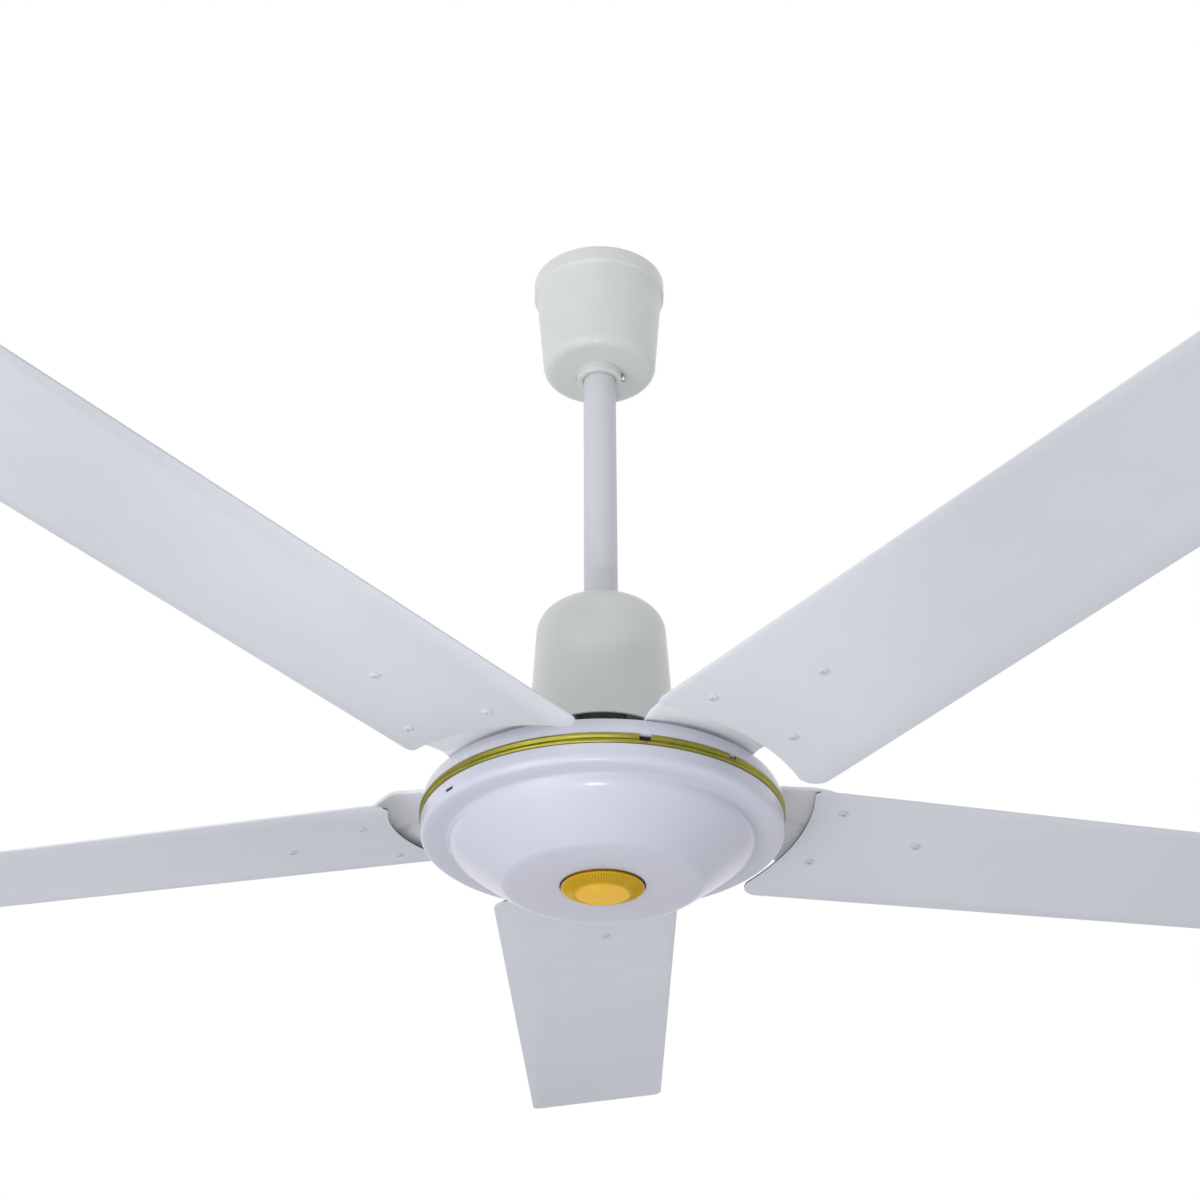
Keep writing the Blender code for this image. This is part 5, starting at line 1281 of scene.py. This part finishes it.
class FAN_OT_inner_parts(bpy.types.Operator):
    """Give the hidden pieces their finishes"""

    bl_idname = "fan.inner_parts"
    bl_label = "Inner Parts"

    def execute(self, context):
        looks = {
            "lamination": ("stator_core", "rotor_core"),
            "copper": ("winding_upper", "winding_lower"),
            "steel": ("motor_shaft", "coupling_pin", "bearing_upper_inner", "bearing_upper_outer",
                      "bearing_lower_inner", "bearing_lower_outer"),
            "zinc": ("capacitor_tray", "hanger_split_pin", "rod_top_split_pin",
                     "rod_bottom_split_pin"),
            "capacitor_case": ("capacitor",),
            "terminal_plastic": ("terminal_block",),
        }
        for slot, names in looks.items():
            for name in names:
                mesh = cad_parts[name].data
                mesh.materials.clear()
                mesh.materials.append(make_finish(slot))
        return {"FINISHED"}


# Stage


def lamp(name, kind, place, target, power, **settings):
    """Hang a lamp that looks at a target."""
    light = bpy.data.lights.new(name, kind)
    light.energy = power
    for key, value in settings.items():
        setattr(light, key, value)
    obj = put(name, light)
    obj.location = place
    obj.rotation_euler = (Vector(target) - Vector(place)).to_track_quat("-Z", "Y").to_euler()


def pale_world(level):
    """Light the fan evenly from all round, in front of a white ground."""
    world = bpy.data.worlds.new("studio")
    bpy.context.scene.world = world
    world.use_nodes = True
    tree = world.node_tree
    tree.nodes.clear()
    path = tree.nodes.new("ShaderNodeLightPath").outputs
    seen = maths(tree, "MAXIMUM", path["Is Camera Ray"], path["Is Glossy Ray"])
    seen = maths(tree, "MAXIMUM", seen, path["Is Transmission Ray"])
    sky = node(tree, "Background", {"Color": (0.96, 0.98, 1.0, 1), "Strength": level})
    ground = node(tree, "Background", {"Color": (1, 1, 1, 1), "Strength": 1.0})
    mix = node(tree, "MixShader", {0: seen, 1: sky, 2: ground})
    fill(tree, tree.nodes.new("ShaderNodeOutputWorld"), {"Surface": mix})


class FAN_OT_stage(bpy.types.Operator):
    """Lay the floor, hang the lamps and set the camera"""

    bl_idname = "fan.stage"
    bl_label = "Stage"

    def execute(self, context):
        scene = context.scene
        stage = scene.fan_stage
        bm = bmesh.new()
        bmesh.ops.create_grid(bm, x_segments=1, y_segments=1, size=FLOOR_SIZE)
        bmesh.ops.translate(bm, verts=bm.verts, vec=(0, 0, -stage.floor_drop))
        put("studio_floor", smooth_mesh(bm, "studio_floor"), make_finish("floor"))
        pale_world(stage.world_level)
        centre = (0, 0, MOTOR_Z)
        lamp("key_lamp", "AREA", KEY_PLACE, centre, stage.key_power, size=KEY_SIZE,
             color=(1.0, 0.99, 0.98))
        lamp("lift_lamp", "AREA", LIFT_PLACE, centre, stage.lift_power, size=LIFT_SIZE,
             color=(1.0, 0.99, 0.99))
        lamp("canopy_lamp", "SPOT", SPOT_PLACE, SPOT_TARGET, stage.canopy_power,
             spot_size=SPOT_ANGLE, spot_blend=0.6, shadow_soft_size=0.2)
        camera = put("photo_camera", bpy.data.cameras.new("photo_camera"))
        camera.location = CAMERA_PLACE
        tilt = Matrix.Rotation(math.radians(90) + stage.camera_pitch, 3, "X")
        camera.rotation_euler = (tilt @ Matrix.Rotation(stage.camera_roll, 3, "Z")).to_euler()
        camera.data.sensor_width = 36
        camera.data.lens = CAMERA_LENS
        camera.data.shift_x, camera.data.shift_y = CAMERA_SHIFT
        scene.camera = camera
        scene.view_settings.view_transform = "Standard"
        return {"FINISHED"}


# Add-on

SETTINGS = {"fan_shape": FanShape, "fan_finish": FanFinish, "fan_stage": FanStage}
OPERATORS = (
    FAN_OT_canopies, FAN_OT_downrod, FAN_OT_hanger, FAN_OT_covers, FAN_OT_trim, FAN_OT_cap,
    FAN_OT_blades, FAN_OT_irons, FAN_OT_screws, FAN_OT_inner_parts, FAN_OT_stage)


class FAN_PT_sidebar(bpy.types.Panel):
    """Sizes, colours and steps of the ceiling fan"""

    bl_idname = "FAN_PT_sidebar"
    bl_label = "Ceiling Fan"
    bl_space_type = "VIEW_3D"
    bl_region_type = "UI"
    bl_category = "Fan"

    def draw(self, context):
        for name, group in SETTINGS.items():
            box = self.layout.box()
            box.label(text=group.__doc__)
            for key in group.__annotations__:
                box.prop(getattr(context.scene, name), key)
        column = self.layout.column(align=True)
        for operator in OPERATORS:
            column.operator(operator.bl_idname)


CLASSES = (*SETTINGS.values(), *OPERATORS, FAN_PT_sidebar)


def register():
    """Register the classes and the scene's settings."""
    for cls in CLASSES:
        bpy.utils.register_class(cls)
    for name, group in SETTINGS.items():
        setattr(bpy.types.Scene, name, bpy.props.PointerProperty(type=group))


def unregister():
    """Remove the scene's settings and the classes."""
    for name in SETTINGS:
        delattr(bpy.types.Scene, name)
    for cls in reversed(CLASSES):
        bpy.utils.unregister_class(cls)


def main():
    """Dress the fan piece by piece."""
    register()
    bpy.ops.fan.canopies()
    bpy.ops.fan.downrod()
    bpy.ops.fan.hanger()
    bpy.ops.fan.covers()
    bpy.ops.fan.trim()
    bpy.ops.fan.cap()
    bpy.ops.fan.blades()
    bpy.ops.fan.irons()
    bpy.ops.fan.screws()
    bpy.ops.fan.inner_parts()
    bpy.ops.fan.stage()


if __name__ == "__main__":
    main()
